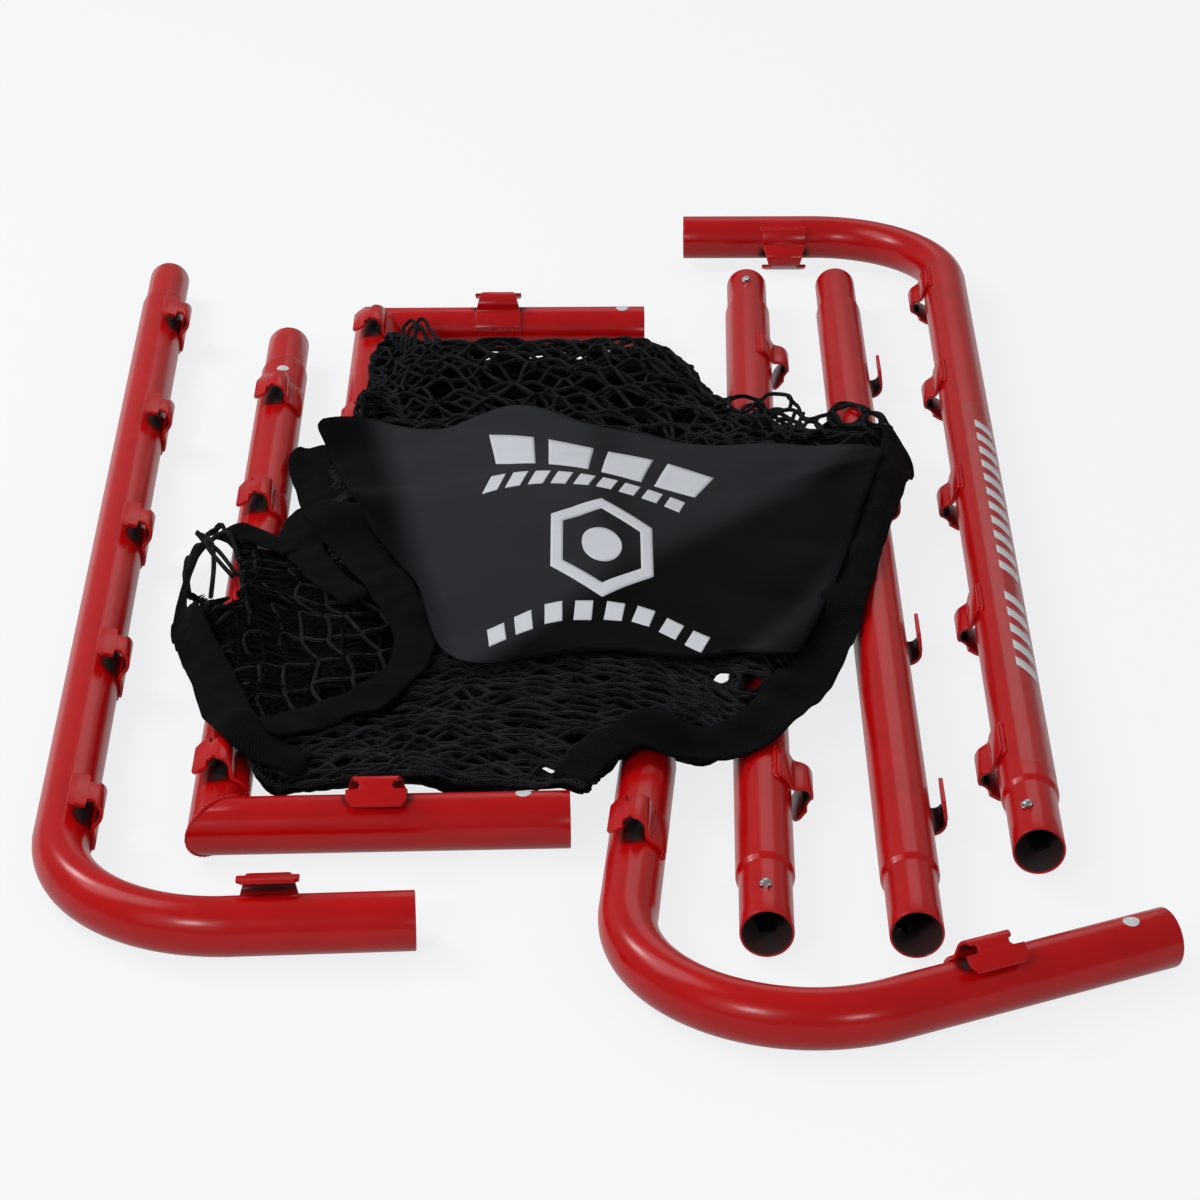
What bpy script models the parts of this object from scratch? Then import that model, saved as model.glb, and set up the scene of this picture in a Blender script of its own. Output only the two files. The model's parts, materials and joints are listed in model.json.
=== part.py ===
"""Knocked-down sports goal: seven steel tubes with net clips and snap buttons, and the net lying on them."""

import math

import bmesh
import bpy
import numpy as np
from mathutils import Matrix, Vector
from mathutils.bvhtree import BVHTree
from mathutils.geometry import delaunay_2d_cdt

# Tube stock, in metres
TUBE_DIAMETER = 0.050
TUBE_WALL = 0.002
TUBE_SIDES = 24

# Reduced plug at a male end, and the shoulder that leads down to it
PLUG_DIAMETER = 0.045
PLUG_LENGTH = 0.082
SHOULDER_LENGTH = 0.008

# Pieces of the frame: lengths run from a free end to the point where the leg axes meet
RAIL_LONG_LEG = 1.455
RAIL_SHORT_LEG = 0.302
RAIL_CORNER_ANGLE = 89.1
CROSSBAR_PLUG_LEG = 1.080
CROSSBAR_SOCKET_LEG = 0.908
CROSSBAR_SHORT_LEG = 0.302
MITRE_CORNER_ANGLE = 89.5
APEX_LEG = 0.500
APEX_CORNER_ANGLE = 61.0
POST_LENGTH = 1.432
BEND_RADIUS = 0.146
BEND_FLATTENING = 0.06
BEND_STEPS = 10

# Net clips: one stamped strap, bent over a jig and welded on by its foot
CLIP_SHEET = 0.0038
CLIP_FOOT_WIDTH = 0.052
CLIP_CREST_WIDTH = 0.037
CLIP_NOTCH_RADIUS = 0.0045
CLIP_PLATE_WIDTH = 0.052
CLIP_FOOT_SPAN = 38.0
CLIP_FOOT_REACH = 12.0
CLIP_LIFT_ANGLE = 45.0
CLIP_LIFT_RADIUS = 0.006
CLIP_LIFT_LENGTH = 0.0045
CLIP_ARCH_RADIUS = 0.010
CLIP_ARCH_ANGLE = 120.0
CLIP_PLATE_LENGTH = 0.021
CLIP_CORNER = 0.005
WELD_GAP = 0.0003

# Snap buttons on their leaf springs
BUTTON_DIAMETER = 0.0095
BUTTON_PROUD = 0.006
BUTTON_HOLE_DIAMETER = 0.0101
BUTTON_FROM_END = 0.039
BUTTON_SIDES = 16
SPRING_WIDTH = 0.012
SPRING_SHEET = 0.0008
SPRING_LEAD = 0.005
SPRING_LENGTH = 0.061
SPRING_BEND_RADIUS = 0.004
FIT_CLEARANCE = 0.0003

# Where each piece lies on the floor: corner or lower end, and the heading of its long leg in degrees
LEFT_RAIL_PLACE = (-0.4239, -0.6450)
LEFT_RAIL_HEADING = 91.9
RIGHT_RAIL_ACROSS = 0.4339
RIGHT_RAIL_HEADING = -91.5
RAIL_PAST_POST = 0.14394
RAIL_PLUG_LEAST = -0.600
LOWER_CROSSBAR_PLACE = (-0.2987, -0.4738)
LOWER_CROSSBAR_HEADING = 91.0
UPPER_CROSSBAR_PLACE = (-0.2202, 0.6515)
UPPER_CROSSBAR_HEADING = -89.6
APEX_PLACE = (0.0318, -0.8705)
APEX_HEADING = 85.5
LEFT_POST_PLACE = (0.1633, -0.6564)
LEFT_POST_HEADING = 88.44
RIGHT_POST_PLACE = (0.2842, -0.6640)
RIGHT_POST_HEADING = 89.19

# Rows of clips: how many, the first one's distance from where the straight starts, the last one's from the end
RAIL_CLIPS = (5, 0.0263, 0.167)
RAIL_SHORT_CLIP = 0.034
PLUG_LEG_CLIPS = (4, 0.062, 0.195)
SOCKET_LEG_CLIPS = (3, 0.052, 0.318)
CROSSBAR_SHORT_CLIP = 0.137
APEX_CLIP = 0.104
APEX_SHORT_CLIP = 0.084
POST_CLIPS = (4, 0.248, 0.226)

# How far round the tube the clips' feet sit, up from the side that faces into the goal
LEFT_RAIL_CLIP_ANGLE = 0.0
RIGHT_RAIL_CLIP_ANGLE = 15.0
CROSSBAR_CLIP_ANGLE = 49.0
APEX_CLIP_ANGLE = 49.0
LEFT_POST_CLIP_ANGLE = 37.5
RIGHT_POST_CLIP_ANGLE = -68.0

# How far round the tube the buttons and the socket holes sit from the clips' feet, away from the straps
BUTTON_OFFSET = 55.0
SOCKET_HOLE_OFFSET = 110.0
CROSSBAR_BUTTON_ANGLE = -50.0
HIDDEN_HOLE_ANGLE = -90.0

# The net: a smooth panel and knitted border bands over the heaped netting, all lying on the tubes
NET_GRID = 0.032
NET_LATTICE = 0.005
NET_GAP = 0.0003
NET_SAG = 0.0015
LET_DOWN_STEPS = (0.002, 0.002, 0.002, 0.001, 0.001, 0.0005, 0.00025)
NETTING_TAUTNESS = 10
BORDER_TAUTNESS = 60
PANEL_TAUTNESS = 25
NETTING_RIM = 0.022
NETTING_SLOPE = 0.045
NETTING_LEAST = 0.010
NETTING_OUTLINE = (
    (-0.219, 0.500), (-0.205, 0.550), (-0.185, 0.590), (-0.155, 0.580), (-0.120, 0.562), (-0.085, 0.556),
    (-0.012, 0.560), (0.070, 0.575), (0.115, 0.576), (0.138, 0.540), (0.147, 0.480), (0.160, 0.410),
    (0.182, 0.362), (0.206, 0.354), (0.237, 0.345), (0.264, 0.325), (0.295, 0.332), (0.320, 0.325),
    (0.334, 0.280), (0.333, 0.225), (0.312, 0.092), (0.292, 0.001), (0.275, -0.087), (0.240, -0.195),
    (0.198, -0.310), (0.150, -0.374), (0.112, -0.385), (0.064, -0.400), (0.034, -0.425), (0.017, -0.460),
    (-0.030, -0.442), (-0.100, -0.442), (-0.176, -0.442), (-0.230, -0.438), (-0.266, -0.417), (-0.292, -0.366),
    (-0.324, -0.262), (-0.348, -0.152), (-0.357, -0.057), (-0.360, 0.020), (-0.345, 0.046), (-0.312, 0.026),
    (-0.285, 0.000), (-0.272, 0.040), (-0.266, 0.105), (-0.254, 0.190), (-0.240, 0.255), (-0.224, 0.333),
    (-0.219, 0.440),
)
PANEL_THICKNESS = 0.0025
PANEL_OUTLINE = (
    (-0.262, 0.287), (-0.234, 0.290), (-0.174, 0.254), (-0.122, 0.240), (-0.091, 0.250), (-0.060, 0.264),
    (-0.030, 0.262), (0.031, 0.244), (0.132, 0.214), (0.235, 0.228), (0.310, 0.233), (0.298, 0.102),
    (0.268, -0.030), (0.232, -0.158), (0.202, -0.244), (0.156, -0.250), (0.120, -0.257), (0.074, -0.254),
    (0.029, -0.250), (-0.024, -0.262), (-0.078, -0.265), (-0.111, -0.244), (-0.128, -0.193), (-0.143, -0.120),
    (-0.186, -0.033), (-0.225, 0.057), (-0.255, 0.142),
)
BORDER_THICKNESS = 0.005
BORDER_WIDTH = 0.038
BORDER_STEP = 0.024
RIGHT_BORDER = (
    (0.334, 0.250), (0.318, 0.142), (0.297, 0.025), (0.276, -0.075), (0.242, -0.190), (0.198, -0.290),
    (0.155, -0.360), (0.112, -0.388), (0.072, -0.388), (0.042, -0.392), (0.020, -0.408), (0.012, -0.430),
)
LEFT_BORDER = (
    (-0.272, -0.012), (-0.298, 0.024), (-0.328, 0.046), (-0.350, 0.034), (-0.361, 0.000), (-0.355, -0.079),
    (-0.334, -0.202), (-0.306, -0.315), (-0.280, -0.385), (-0.250, -0.412), (-0.210, -0.416),
)
INNER_BORDER = (
    (-0.276, 0.262), (-0.268, 0.145), (-0.248, 0.030), (-0.203, -0.060), (-0.160, -0.140), (-0.138, -0.223),
    (-0.144, -0.300), (-0.177, -0.347), (-0.225, -0.362), (-0.262, -0.360),
)

POWDER_RED = (0.50, 0.012, 0.014, 1.0)
CHROME = (0.62, 0.62, 0.64, 1.0)
SPRING_STEEL = (0.03, 0.035, 0.035, 1.0)
NETTING_BLACK = (0.006, 0.006, 0.007, 1.0)
BORDER_BLACK = (0.010, 0.010, 0.011, 1.0)
PANEL_CHARCOAL = (0.022, 0.023, 0.026, 1.0)

UP = Vector((0.0, 0.0, 1.0))


def material(name, colour, roughness, metallic):
    """A plain finish for one kind of piece."""
    finish = bpy.data.materials.new(name)
    finish.use_nodes = True
    shader = finish.node_tree.nodes["Principled BSDF"]
    shader.inputs["Base Color"].default_value = colour
    shader.inputs["Roughness"].default_value = roughness
    shader.inputs["Metallic"].default_value = metallic
    return finish


def new_object(name, mesh, finish, sharp_angle=35.0):
    """Put a mesh into the scene under a piece's name."""
    piece = bpy.data.objects.new(name, mesh)
    bpy.context.scene.collection.objects.link(piece)
    if not mesh.materials:
        mesh.materials.append(finish)
    mesh.shade_smooth()
    mesh.set_sharp_from_angle(angle=math.radians(sharp_angle))
    return piece


def mesh_from(name, vertices, faces):
    """A mesh from point and face lists, with its faces turned outwards."""
    mesh = bpy.data.meshes.new(name)
    build = bmesh.new()
    points = [build.verts.new(vertex) for vertex in vertices]
    for face in faces:
        build.faces.new([points[index] for index in face])
    bmesh.ops.recalc_face_normals(build, faces=build.faces[:])
    build.to_mesh(mesh)
    build.free()
    return mesh


def direction(degrees):
    """Unit vector along the floor at a heading in degrees."""
    return Vector((math.cos(math.radians(degrees)), math.sin(math.radians(degrees)), 0.0))


class Station:
    """One cross-section of a tube: its centre, its sideways direction and its radii."""

    def __init__(self, centre, side, radius, side_stretch=1.0, up_stretch=1.0):
        self.centre = centre
        self.side = side
        self.radius = radius
        self.side_stretch = side_stretch
        self.up_stretch = up_stretch

    def ring(self, shrink):
        """Points around the section, with the wall taken off the radius."""
        radius = self.radius - shrink
        points = []
        for index in range(TUBE_SIDES):
            angle = 2.0 * math.pi * index / TUBE_SIDES
            across = self.side * (radius * self.side_stretch * math.cos(angle))
            points.append(self.centre + across + UP * (radius * self.up_stretch * math.sin(angle)))
        return points


def tube_mesh(name, stations):
    """A closed tube wall: the outer skin, the bore and a flat ring at each end."""
    vertices = []
    for station in stations:
        vertices += station.ring(0.0)
    for station in stations:
        vertices += station.ring(TUBE_WALL)
    rows = len(stations)
    faces = []
    for row in range(rows - 1):
        for index in range(TUBE_SIDES):
            after = (index + 1) % TUBE_SIDES
            for skin in (0, rows * TUBE_SIDES):
                low = skin + row * TUBE_SIDES
                high = low + TUBE_SIDES
                faces.append((low + index, low + after, high + after, high + index))
    for row in (0, rows - 1):
        for index in range(TUBE_SIDES):
            after = (index + 1) % TUBE_SIDES
            outer = row * TUBE_SIDES
            inner = (rows + row) * TUBE_SIDES
            faces.append((outer + index, outer + after, inner + after, inner + index))
    return mesh_from(name, vertices, faces)


def plug_end(end, inward, side):
    """Sections of a male end, from its tip to the full tube."""
    tip = PLUG_DIAMETER / 2.0
    full = TUBE_DIAMETER / 2.0
    return [
        Station(end, side, tip),
        Station(end + inward * PLUG_LENGTH, side, tip),
        Station(end + inward * (PLUG_LENGTH + SHOULDER_LENGTH), side, full),
    ]


def socket_end(end, inward, side):
    """Section of a plain open end."""
    return [Station(end, side, TUBE_DIAMETER / 2.0)]


def bend_setback(angle):
    """Distance from the corner point to the start of a bend whose legs stand at an angle in degrees."""
    return BEND_RADIUS / math.tan(math.radians(angle) / 2.0)


def bend_stations(corner, first, second):
    """Sections round a bend that leaves along two directions, slightly flattened by the bending."""
    turn = math.pi - first.angle(second)
    setback = bend_setback(math.degrees(first.angle(second)))
    start = corner + first * setback
    inward = (second - first * second.dot(first)).normalized()
    centre = start + inward * BEND_RADIUS
    stations = []
    for step in range(BEND_STEPS + 1):
        angle = turn * step / BEND_STEPS
        outward = -inward * math.cos(angle) - first * math.sin(angle)
        squeeze = BEND_FLATTENING * math.sin(math.pi * step / BEND_STEPS) ** 0.5
        stations.append(
            Station(centre + outward * BEND_RADIUS, outward, TUBE_DIAMETER / 2.0, 1.0 - squeeze, 1.0)
        )
    return stations


def mitre_stations(corner, first, second):
    """The one slanted section of a welded mitre."""
    half = first.angle(second) / 2.0
    outward = -(first + second).normalized()
    return [Station(corner, outward, TUBE_DIAMETER / 2.0, 1.0 / math.sin(half), 1.0)]


def corner_tube(name, place, height, heading, hand, angle, legs, ends, join, finish):
    """A frame tube with two legs that meet in a bend or a mitre."""
    corner = Vector((place[0], place[1], height))
    first = direction(heading)
    second = direction(heading - hand * angle)
    outward = -(first + second).normalized()
    first_side = outward - first * outward.dot(first)
    second_side = outward - second * outward.dot(second)
    first_side.normalize()
    second_side.normalize()
    stations = ends[0](corner + first * legs[0], -first, first_side)
    stations += join(corner, first, second)
    stations += reversed(ends[1](corner + second * legs[1], -second, second_side))
    return new_object(name, tube_mesh(name, stations), finish)


def straight_tube(name, place, height, heading, length, finish):
    """A straight frame tube with a male plug at both ends."""
    start = Vector((place[0], place[1], height))
    along = direction(heading)
    side = along.cross(UP)
    finish_end = start + along * length
    stations = plug_end(start, along, side)
    stations += reversed(plug_end(finish_end, -along, side))
    return new_object(name, tube_mesh(name, stations), finish)


def drill(piece, centre, axis):
    """Drill a button hole through one wall of a tube."""
    build = bmesh.new()
    bmesh.ops.create_cone(
        build,
        cap_ends=True,
        segments=14,
        radius1=BUTTON_HOLE_DIAMETER / 2.0,
        radius2=BUTTON_HOLE_DIAMETER / 2.0,
        depth=TUBE_DIAMETER / 2.0,
    )
    mesh = bpy.data.meshes.new(piece.name + "_drill")
    build.to_mesh(mesh)
    build.free()
    cutter = bpy.data.objects.new(piece.name + "_drill", mesh)
    bpy.context.scene.collection.objects.link(cutter)
    cutter.location = centre + axis * (TUBE_DIAMETER * 0.45)
    cutter.rotation_mode = "QUATERNION"
    cutter.rotation_quaternion = UP.rotation_difference(axis)
    cutter.hide_render = True
    cutter.display_type = "WIRE"
    hole = piece.modifiers.new("button_hole", "BOOLEAN")
    hole.operation = "DIFFERENCE"
    hole.solver = "EXACT"
    hole.object = cutter


def clip_profile():
    """The strap's middle line across the tube: points, headings and distances from the foot's end."""
    seat = TUBE_DIAMETER / 2.0 + WELD_GAP + CLIP_SHEET / 2.0
    heading = CLIP_FOOT_SPAN - CLIP_FOOT_REACH
    point = np.array([-math.sin(math.radians(heading)), math.cos(math.radians(heading))]) * seat
    bends = [
        (-seat, CLIP_FOOT_SPAN, 3),
        (CLIP_LIFT_RADIUS, CLIP_LIFT_ANGLE + CLIP_FOOT_REACH, 3),
        (None, CLIP_LIFT_LENGTH, 1),
        (-CLIP_ARCH_RADIUS, CLIP_ARCH_ANGLE, 6),
        (None, CLIP_PLATE_LENGTH, 5),
    ]
    rows = [(point.copy(), heading, 0.0)]
    travelled = 0.0
    for radius, amount, steps in bends:
        for _ in range(steps):
            facing = math.radians(heading)
            if radius is None:
                step = amount / steps
                point = point + step * np.array([math.cos(facing), math.sin(facing)])
            else:
                turn = math.copysign(amount / steps, radius)
                left = np.array([-math.sin(facing), math.cos(facing)])
                centre = point + radius * left
                heading += turn
                facing = math.radians(heading)
                point = centre - radius * np.array([-math.sin(facing), math.cos(facing)])
                step = abs(radius) * math.radians(abs(turn))
            travelled += step
            rows.append((point.copy(), heading, travelled))
    return rows


def clip_half_width(travelled, total):
    """Half the strap's width: wide foot, tapered crest, round notch, then the wide free plate."""
    notch = total - CLIP_PLATE_LENGTH + CLIP_NOTCH_RADIUS * 0.1
    taper_start = total * 0.26
    taper_end = notch - CLIP_NOTCH_RADIUS
    if travelled <= taper_start:
        return CLIP_FOOT_WIDTH / 2.0
    if travelled <= taper_end:
        share = (travelled - taper_start) / (taper_end - taper_start)
        return (CLIP_FOOT_WIDTH + (CLIP_CREST_WIDTH - CLIP_FOOT_WIDTH) * share) / 2.0
    if travelled <= notch + CLIP_NOTCH_RADIUS:
        across = (travelled - notch) / CLIP_NOTCH_RADIUS
        depth = CLIP_NOTCH_RADIUS * math.sqrt(max(0.0, 1.0 - across * across))
        return CLIP_CREST_WIDTH / 2.0 - depth
    left = total - travelled
    if left < CLIP_CORNER:
        return CLIP_PLATE_WIDTH / 2.0 - (CLIP_CORNER - left) * 0.8
    return CLIP_PLATE_WIDTH / 2.0


def clip_mesh():
    """The stamped and bent strap, lying along the tube's own axis Y with its seat below Z."""
    rows = clip_profile()
    total = rows[-1][2]
    notch_far = total - CLIP_PLATE_LENGTH + CLIP_NOTCH_RADIUS * 1.1
    wanted = sorted(
        [row[2] for row in rows]
        + [notch_far - CLIP_NOTCH_RADIUS * part for part in (2.0, 1.5, 0.5, 0.0)]
        + [notch_far + 0.0004, total - CLIP_CORNER]
    )
    distances = np.array([row[2] for row in rows])
    xs = np.array([row[0][0] for row in rows])
    zs = np.array([row[0][1] for row in rows])
    headings = np.array([row[1] for row in rows])
    kept = []
    for value in wanted:
        if not kept or value - kept[-1] > 0.00025:
            kept.append(value)
    vertices = []
    for value in kept:
        centre = Vector((np.interp(value, distances, xs), 0.0, np.interp(value, distances, zs)))
        facing = math.radians(np.interp(value, distances, headings))
        normal = Vector((-math.sin(facing), 0.0, math.cos(facing))) * (CLIP_SHEET / 2.0)
        across = Vector((0.0, clip_half_width(value, total), 0.0))
        vertices += [centre - across - normal, centre + across - normal]
        vertices += [centre + across + normal, centre - across + normal]
    faces = []
    for row in range(len(kept) - 1):
        base = row * 4
        for index in range(4):
            after = (index + 1) % 4
            faces.append((base + index, base + after, base + 4 + after, base + 4 + index))
    faces.append((0, 1, 2, 3))
    last = (len(kept) - 1) * 4
    faces.append((last, last + 1, last + 2, last + 3))
    return mesh_from("net_clip", vertices, faces)


def clip_drop(angle, over):
    """Lowest point of a clip below the tube's axis, for a foot that sits this far round."""
    lowest = 0.0
    seat = math.radians(angle)
    sense = 1.0 if over else -1.0
    for point, heading, _ in clip_profile():
        for face in (-0.5, 0.5):
            facing = math.radians(heading)
            across = point[0] - face * CLIP_SHEET * math.sin(facing)
            out = point[1] + face * CLIP_SHEET * math.cos(facing)
            height = out * math.sin(seat) + sense * across * math.cos(seat)
            lowest = min(lowest, height)
    return -lowest


def right_rail_place():
    """Corner of the right rail: past the right post's upper end, and far enough for its own plug to clear the apex."""
    post_end = RIGHT_POST_PLACE[1] + POST_LENGTH * math.sin(math.radians(RIGHT_POST_HEADING))
    reach = RAIL_LONG_LEG * math.sin(math.radians(-RIGHT_RAIL_HEADING))
    return RIGHT_RAIL_ACROSS, max(post_end + RAIL_PAST_POST, RAIL_PLUG_LEAST + reach)


def rest_height(angle, over):
    """Height of a tube's axis when it lies on the floor on its wall or on its clips."""
    return max(TUBE_DIAMETER / 2.0, clip_drop(angle, over))


def add_clip(name, mesh, centre, inner, angle, over, finish):
    """Weld one clip on: its foot sits at an angle round the tube, up from the inner side."""
    seat = math.radians(angle)
    normal = inner * math.cos(seat) + UP * math.sin(seat)
    across = UP * math.cos(seat) - inner * math.sin(seat)
    if not over:
        across = -across
    along = normal.cross(across)
    frame = Matrix((across, along, normal)).transposed()
    piece = new_object(name, mesh, finish)
    piece.location = centre
    piece.rotation_mode = "QUATERNION"
    piece.rotation_quaternion = frame.to_quaternion()
    return piece


def clip_row(row, start, length):
    """Even distances for a row of clips between the start of the straight and the free end."""
    count, first, from_end = row
    if count == 1:
        return [start + first]
    return [float(place) for place in np.linspace(start + first, length - from_end, count)]


def leaf_height():
    """Distance of a spring leg's outer face from the tube's axis, where the strip's edges meet the bore."""
    bore = (PLUG_DIAMETER / 2.0 - TUBE_WALL) * math.cos(math.pi / TUBE_SIDES)
    return math.sqrt(bore ** 2 - (SPRING_WIDTH / 2.0) ** 2) - FIT_CLEARANCE


def button_mesh():
    """Snap button: a turned pin with a domed head, standing on its leaf spring along local Z."""
    radius = BUTTON_DIAMETER / 2.0
    tip = PLUG_DIAMETER / 2.0 + BUTTON_PROUD
    foot = leaf_height() + FIT_CLEARANCE
    crown = radius * 0.55
    profile = [(0.0, foot), (radius, foot), (radius, tip - crown)]
    for step in range(1, 4):
        angle = math.pi / 2.0 * step / 4.0
        profile.append((radius * math.cos(angle), tip - crown * (1.0 - math.sin(angle))))
    profile.append((0.0, tip))
    vertices = []
    rows = []
    for distance, height in profile:
        count = BUTTON_SIDES if distance > 0.0 else 1
        rows.append(range(len(vertices), len(vertices) + count))
        for index in range(count):
            angle = 2.0 * math.pi * index / count
            vertices.append((distance * math.cos(angle), distance * math.sin(angle), height))
    faces = []
    for low, high in zip(rows, rows[1:]):
        for index in range(BUTTON_SIDES):
            after = (index + 1) % BUTTON_SIDES
            if len(low) == 1:
                faces.append((low[0], high[index], high[after]))
            elif len(high) == 1:
                faces.append((low[index], low[after], high[0]))
            else:
                faces.append((low[index], low[after], high[after], high[index]))
    return mesh_from("snap_button", vertices, faces)


def spring_mesh():
    """Leaf spring: a strip bent to a V, one leg under the button along local X, the other across the bore."""
    height = leaf_height() - SPRING_SHEET / 2.0
    radius = SPRING_BEND_RADIUS
    straight = SPRING_LENGTH - radius - SPRING_SHEET / 2.0
    lean = 0.0
    for _ in range(30):
        drop = 2.0 * height - radius - radius * math.cos(lean)
        lean = math.atan2(drop, straight + radius * math.sin(lean))
    rows = [(0.0, height, 0.0), (straight, height, 0.0)]
    steps = 6
    for step in range(1, steps + 1):
        turned = (math.pi - lean) * step / steps
        rows.append((straight + radius * math.sin(turned), height - radius * (1.0 - math.cos(turned)), turned))
    rows.append((0.0, -height, math.pi - lean))
    vertices = []
    for along, up, turned in rows:
        normal = Vector((math.sin(turned), 0.0, math.cos(turned))) * (SPRING_SHEET / 2.0)
        centre = Vector((along, 0.0, up))
        across = Vector((0.0, SPRING_WIDTH / 2.0, 0.0))
        vertices += [centre - across - normal, centre + across - normal]
        vertices += [centre + across + normal, centre - across + normal]
    faces = []
    for row in range(len(rows) - 1):
        base = row * 4
        for index in range(4):
            after = (index + 1) % 4
            faces.append((base + index, base + after, base + 4 + after, base + 4 + index))
    faces.append((0, 1, 2, 3))
    last = len(vertices) - 4
    faces.append((last, last + 1, last + 2, last + 3))
    return mesh_from("leaf_spring", vertices, faces)


def snap_button(tube, prefix, meshes, end, inward, inner, angle, finishes):
    """Fit a male end with its hole, its button and the leaf spring that carries the button."""
    radial = inner * math.cos(math.radians(angle)) + UP * math.sin(math.radians(angle))
    seat = end + inward * BUTTON_FROM_END
    drill(tube, seat, radial)
    across = radial.cross(inward)
    frame = Matrix((inward, across, radial)).transposed().to_quaternion()
    for kind, mesh, place, finish in (
        ("button", meshes[0], seat, finishes[0]),
        ("spring", meshes[1], end + inward * (BUTTON_FROM_END - SPRING_LEAD), finishes[1]),
    ):
        piece = new_object(f"{prefix}_{kind}", mesh, finish)
        piece.location = place
        piece.rotation_mode = "QUATERNION"
        piece.rotation_quaternion = frame


def socket_hole(tube, end, inward, inner, angle):
    """Drill the hole of a socket end, where the button of the piece that plugs in comes through."""
    radial = inner * math.cos(math.radians(angle)) + UP * math.sin(math.radians(angle))
    drill(tube, end + inward * (PLUG_LENGTH - BUTTON_FROM_END), radial)


class Support:
    """Height of what lies below the net, on a fine lattice over the floor."""

    def __init__(self, outlines):
        points = np.array([point for outline in outlines for point in outline])
        margin = 0.05
        self.low = points.min(axis=0) - margin
        self.count = np.ceil((points.max(axis=0) + margin - self.low) / NET_LATTICE).astype(int) + 1
        self.height = np.zeros(self.count)
        self.corners = []
        self.faces = []

    def add(self, piece):
        """Take one more piece into account, as it stands in the world: its faces, then its edges."""
        place = piece.matrix_basis
        corners = [place @ vertex.co for vertex in piece.data.vertices]
        faces = [tuple(face.vertices) for face in piece.data.polygons]
        tree = BVHTree.FromPolygons(corners, faces)
        self.faces += [tuple(index + len(self.corners) for index in face) for face in faces]
        self.corners += corners
        corners = np.array(corners)
        first = np.floor((corners[:, :2].min(axis=0) - self.low) / NET_LATTICE).astype(int)
        last = np.ceil((corners[:, :2].max(axis=0) - self.low) / NET_LATTICE).astype(int) + 1
        for column in range(max(first[0], 0), min(last[0], self.count[0])):
            for row in range(max(first[1], 0), min(last[1], self.count[1])):
                x, y = self.low + np.array((column, row)) * NET_LATTICE
                hit = tree.ray_cast(Vector((x, y, 1.0)), -UP)[0]
                if hit is not None:
                    self.height[column, row] = max(self.height[column, row], hit.z)
        for edge in piece.data.edges:
            start, end = corners[edge.vertices[0]], corners[edge.vertices[1]]
            steps = int(np.linalg.norm(end - start) / (NET_LATTICE / 2.0)) + 2
            spots = start + np.linspace(0.0, 1.0, steps)[:, None] * (end - start)
            cells = np.floor((spots[:, :2] - self.low) / NET_LATTICE).astype(int)
            within = ((cells >= 0) & (cells < self.count - 1)).all(axis=1)
            for column, row in ((0, 0), (1, 0), (0, 1), (1, 1)):
                place_at = (cells[within, 0] + column, cells[within, 1] + row)
                np.maximum.at(self.height, place_at, spots[within, 2])

    def widened(self):
        """The lattice with each height spread to its neighbours, so no edge between samples is missed."""
        padded = np.pad(self.height, 1)
        columns, rows = self.height.shape
        return np.max([padded[i:i + columns, j:j + rows] for i in range(3) for j in range(3)], axis=0)


def smooth_curve(points, step, closed):
    """Points a step apart along a smooth curve through the given ones."""
    knots = np.array(points, dtype=float)
    count = len(knots)
    dense = []
    for index in range(count if closed else count - 1):
        before = knots[(index - 1) % count] if closed or index > 0 else knots[0]
        start = knots[index]
        end = knots[(index + 1) % count]
        after = knots[(index + 2) % count] if closed or index + 2 < count else knots[-1]
        for part in range(20):
            t = part / 20.0
            dense.append(0.5 * (2.0 * start + (end - before) * t
                                + (2.0 * before - 5.0 * start + 4.0 * end - after) * t * t
                                + (3.0 * start - before - 3.0 * end + after) * t ** 3))
    dense.append(knots[0] if closed else knots[-1])
    dense = np.array(dense)
    run = np.concatenate(([0.0], np.cumsum(np.linalg.norm(np.diff(dense, axis=0), axis=1))))
    pieces = max(int(round(run[-1] / step)), 3)
    marks = np.linspace(0.0, run[-1], pieces + 1)
    if closed:
        marks = marks[:-1]
    return np.stack([np.interp(marks, run, dense[:, axis]) for axis in (0, 1)], axis=1)


def edge_distance(points, outline):
    """Distance of each point from a closed outline."""
    nearest = np.full(len(points), np.inf)
    for start, end in zip(outline, np.roll(outline, -1, axis=0)):
        along = end - start
        share = np.clip(((points - start) @ along) / max(along @ along, 1e-12), 0.0, 1.0)
        nearest = np.minimum(nearest, np.linalg.norm(points - start - share[:, None] * along, axis=1))
    return nearest


def inside(points, outline):
    """Which points lie within a closed outline."""
    within = np.zeros(len(points), dtype=bool)
    for start, end in zip(outline, np.roll(outline, -1, axis=0)):
        crosses = (start[1] > points[:, 1]) != (end[1] > points[:, 1])
        rise = end[1] - start[1] if end[1] != start[1] else 1e-12
        reach = start[0] + (points[:, 1] - start[1]) * (end[0] - start[0]) / rise
        within ^= crosses & (points[:, 0] < reach)
    return within


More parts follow.
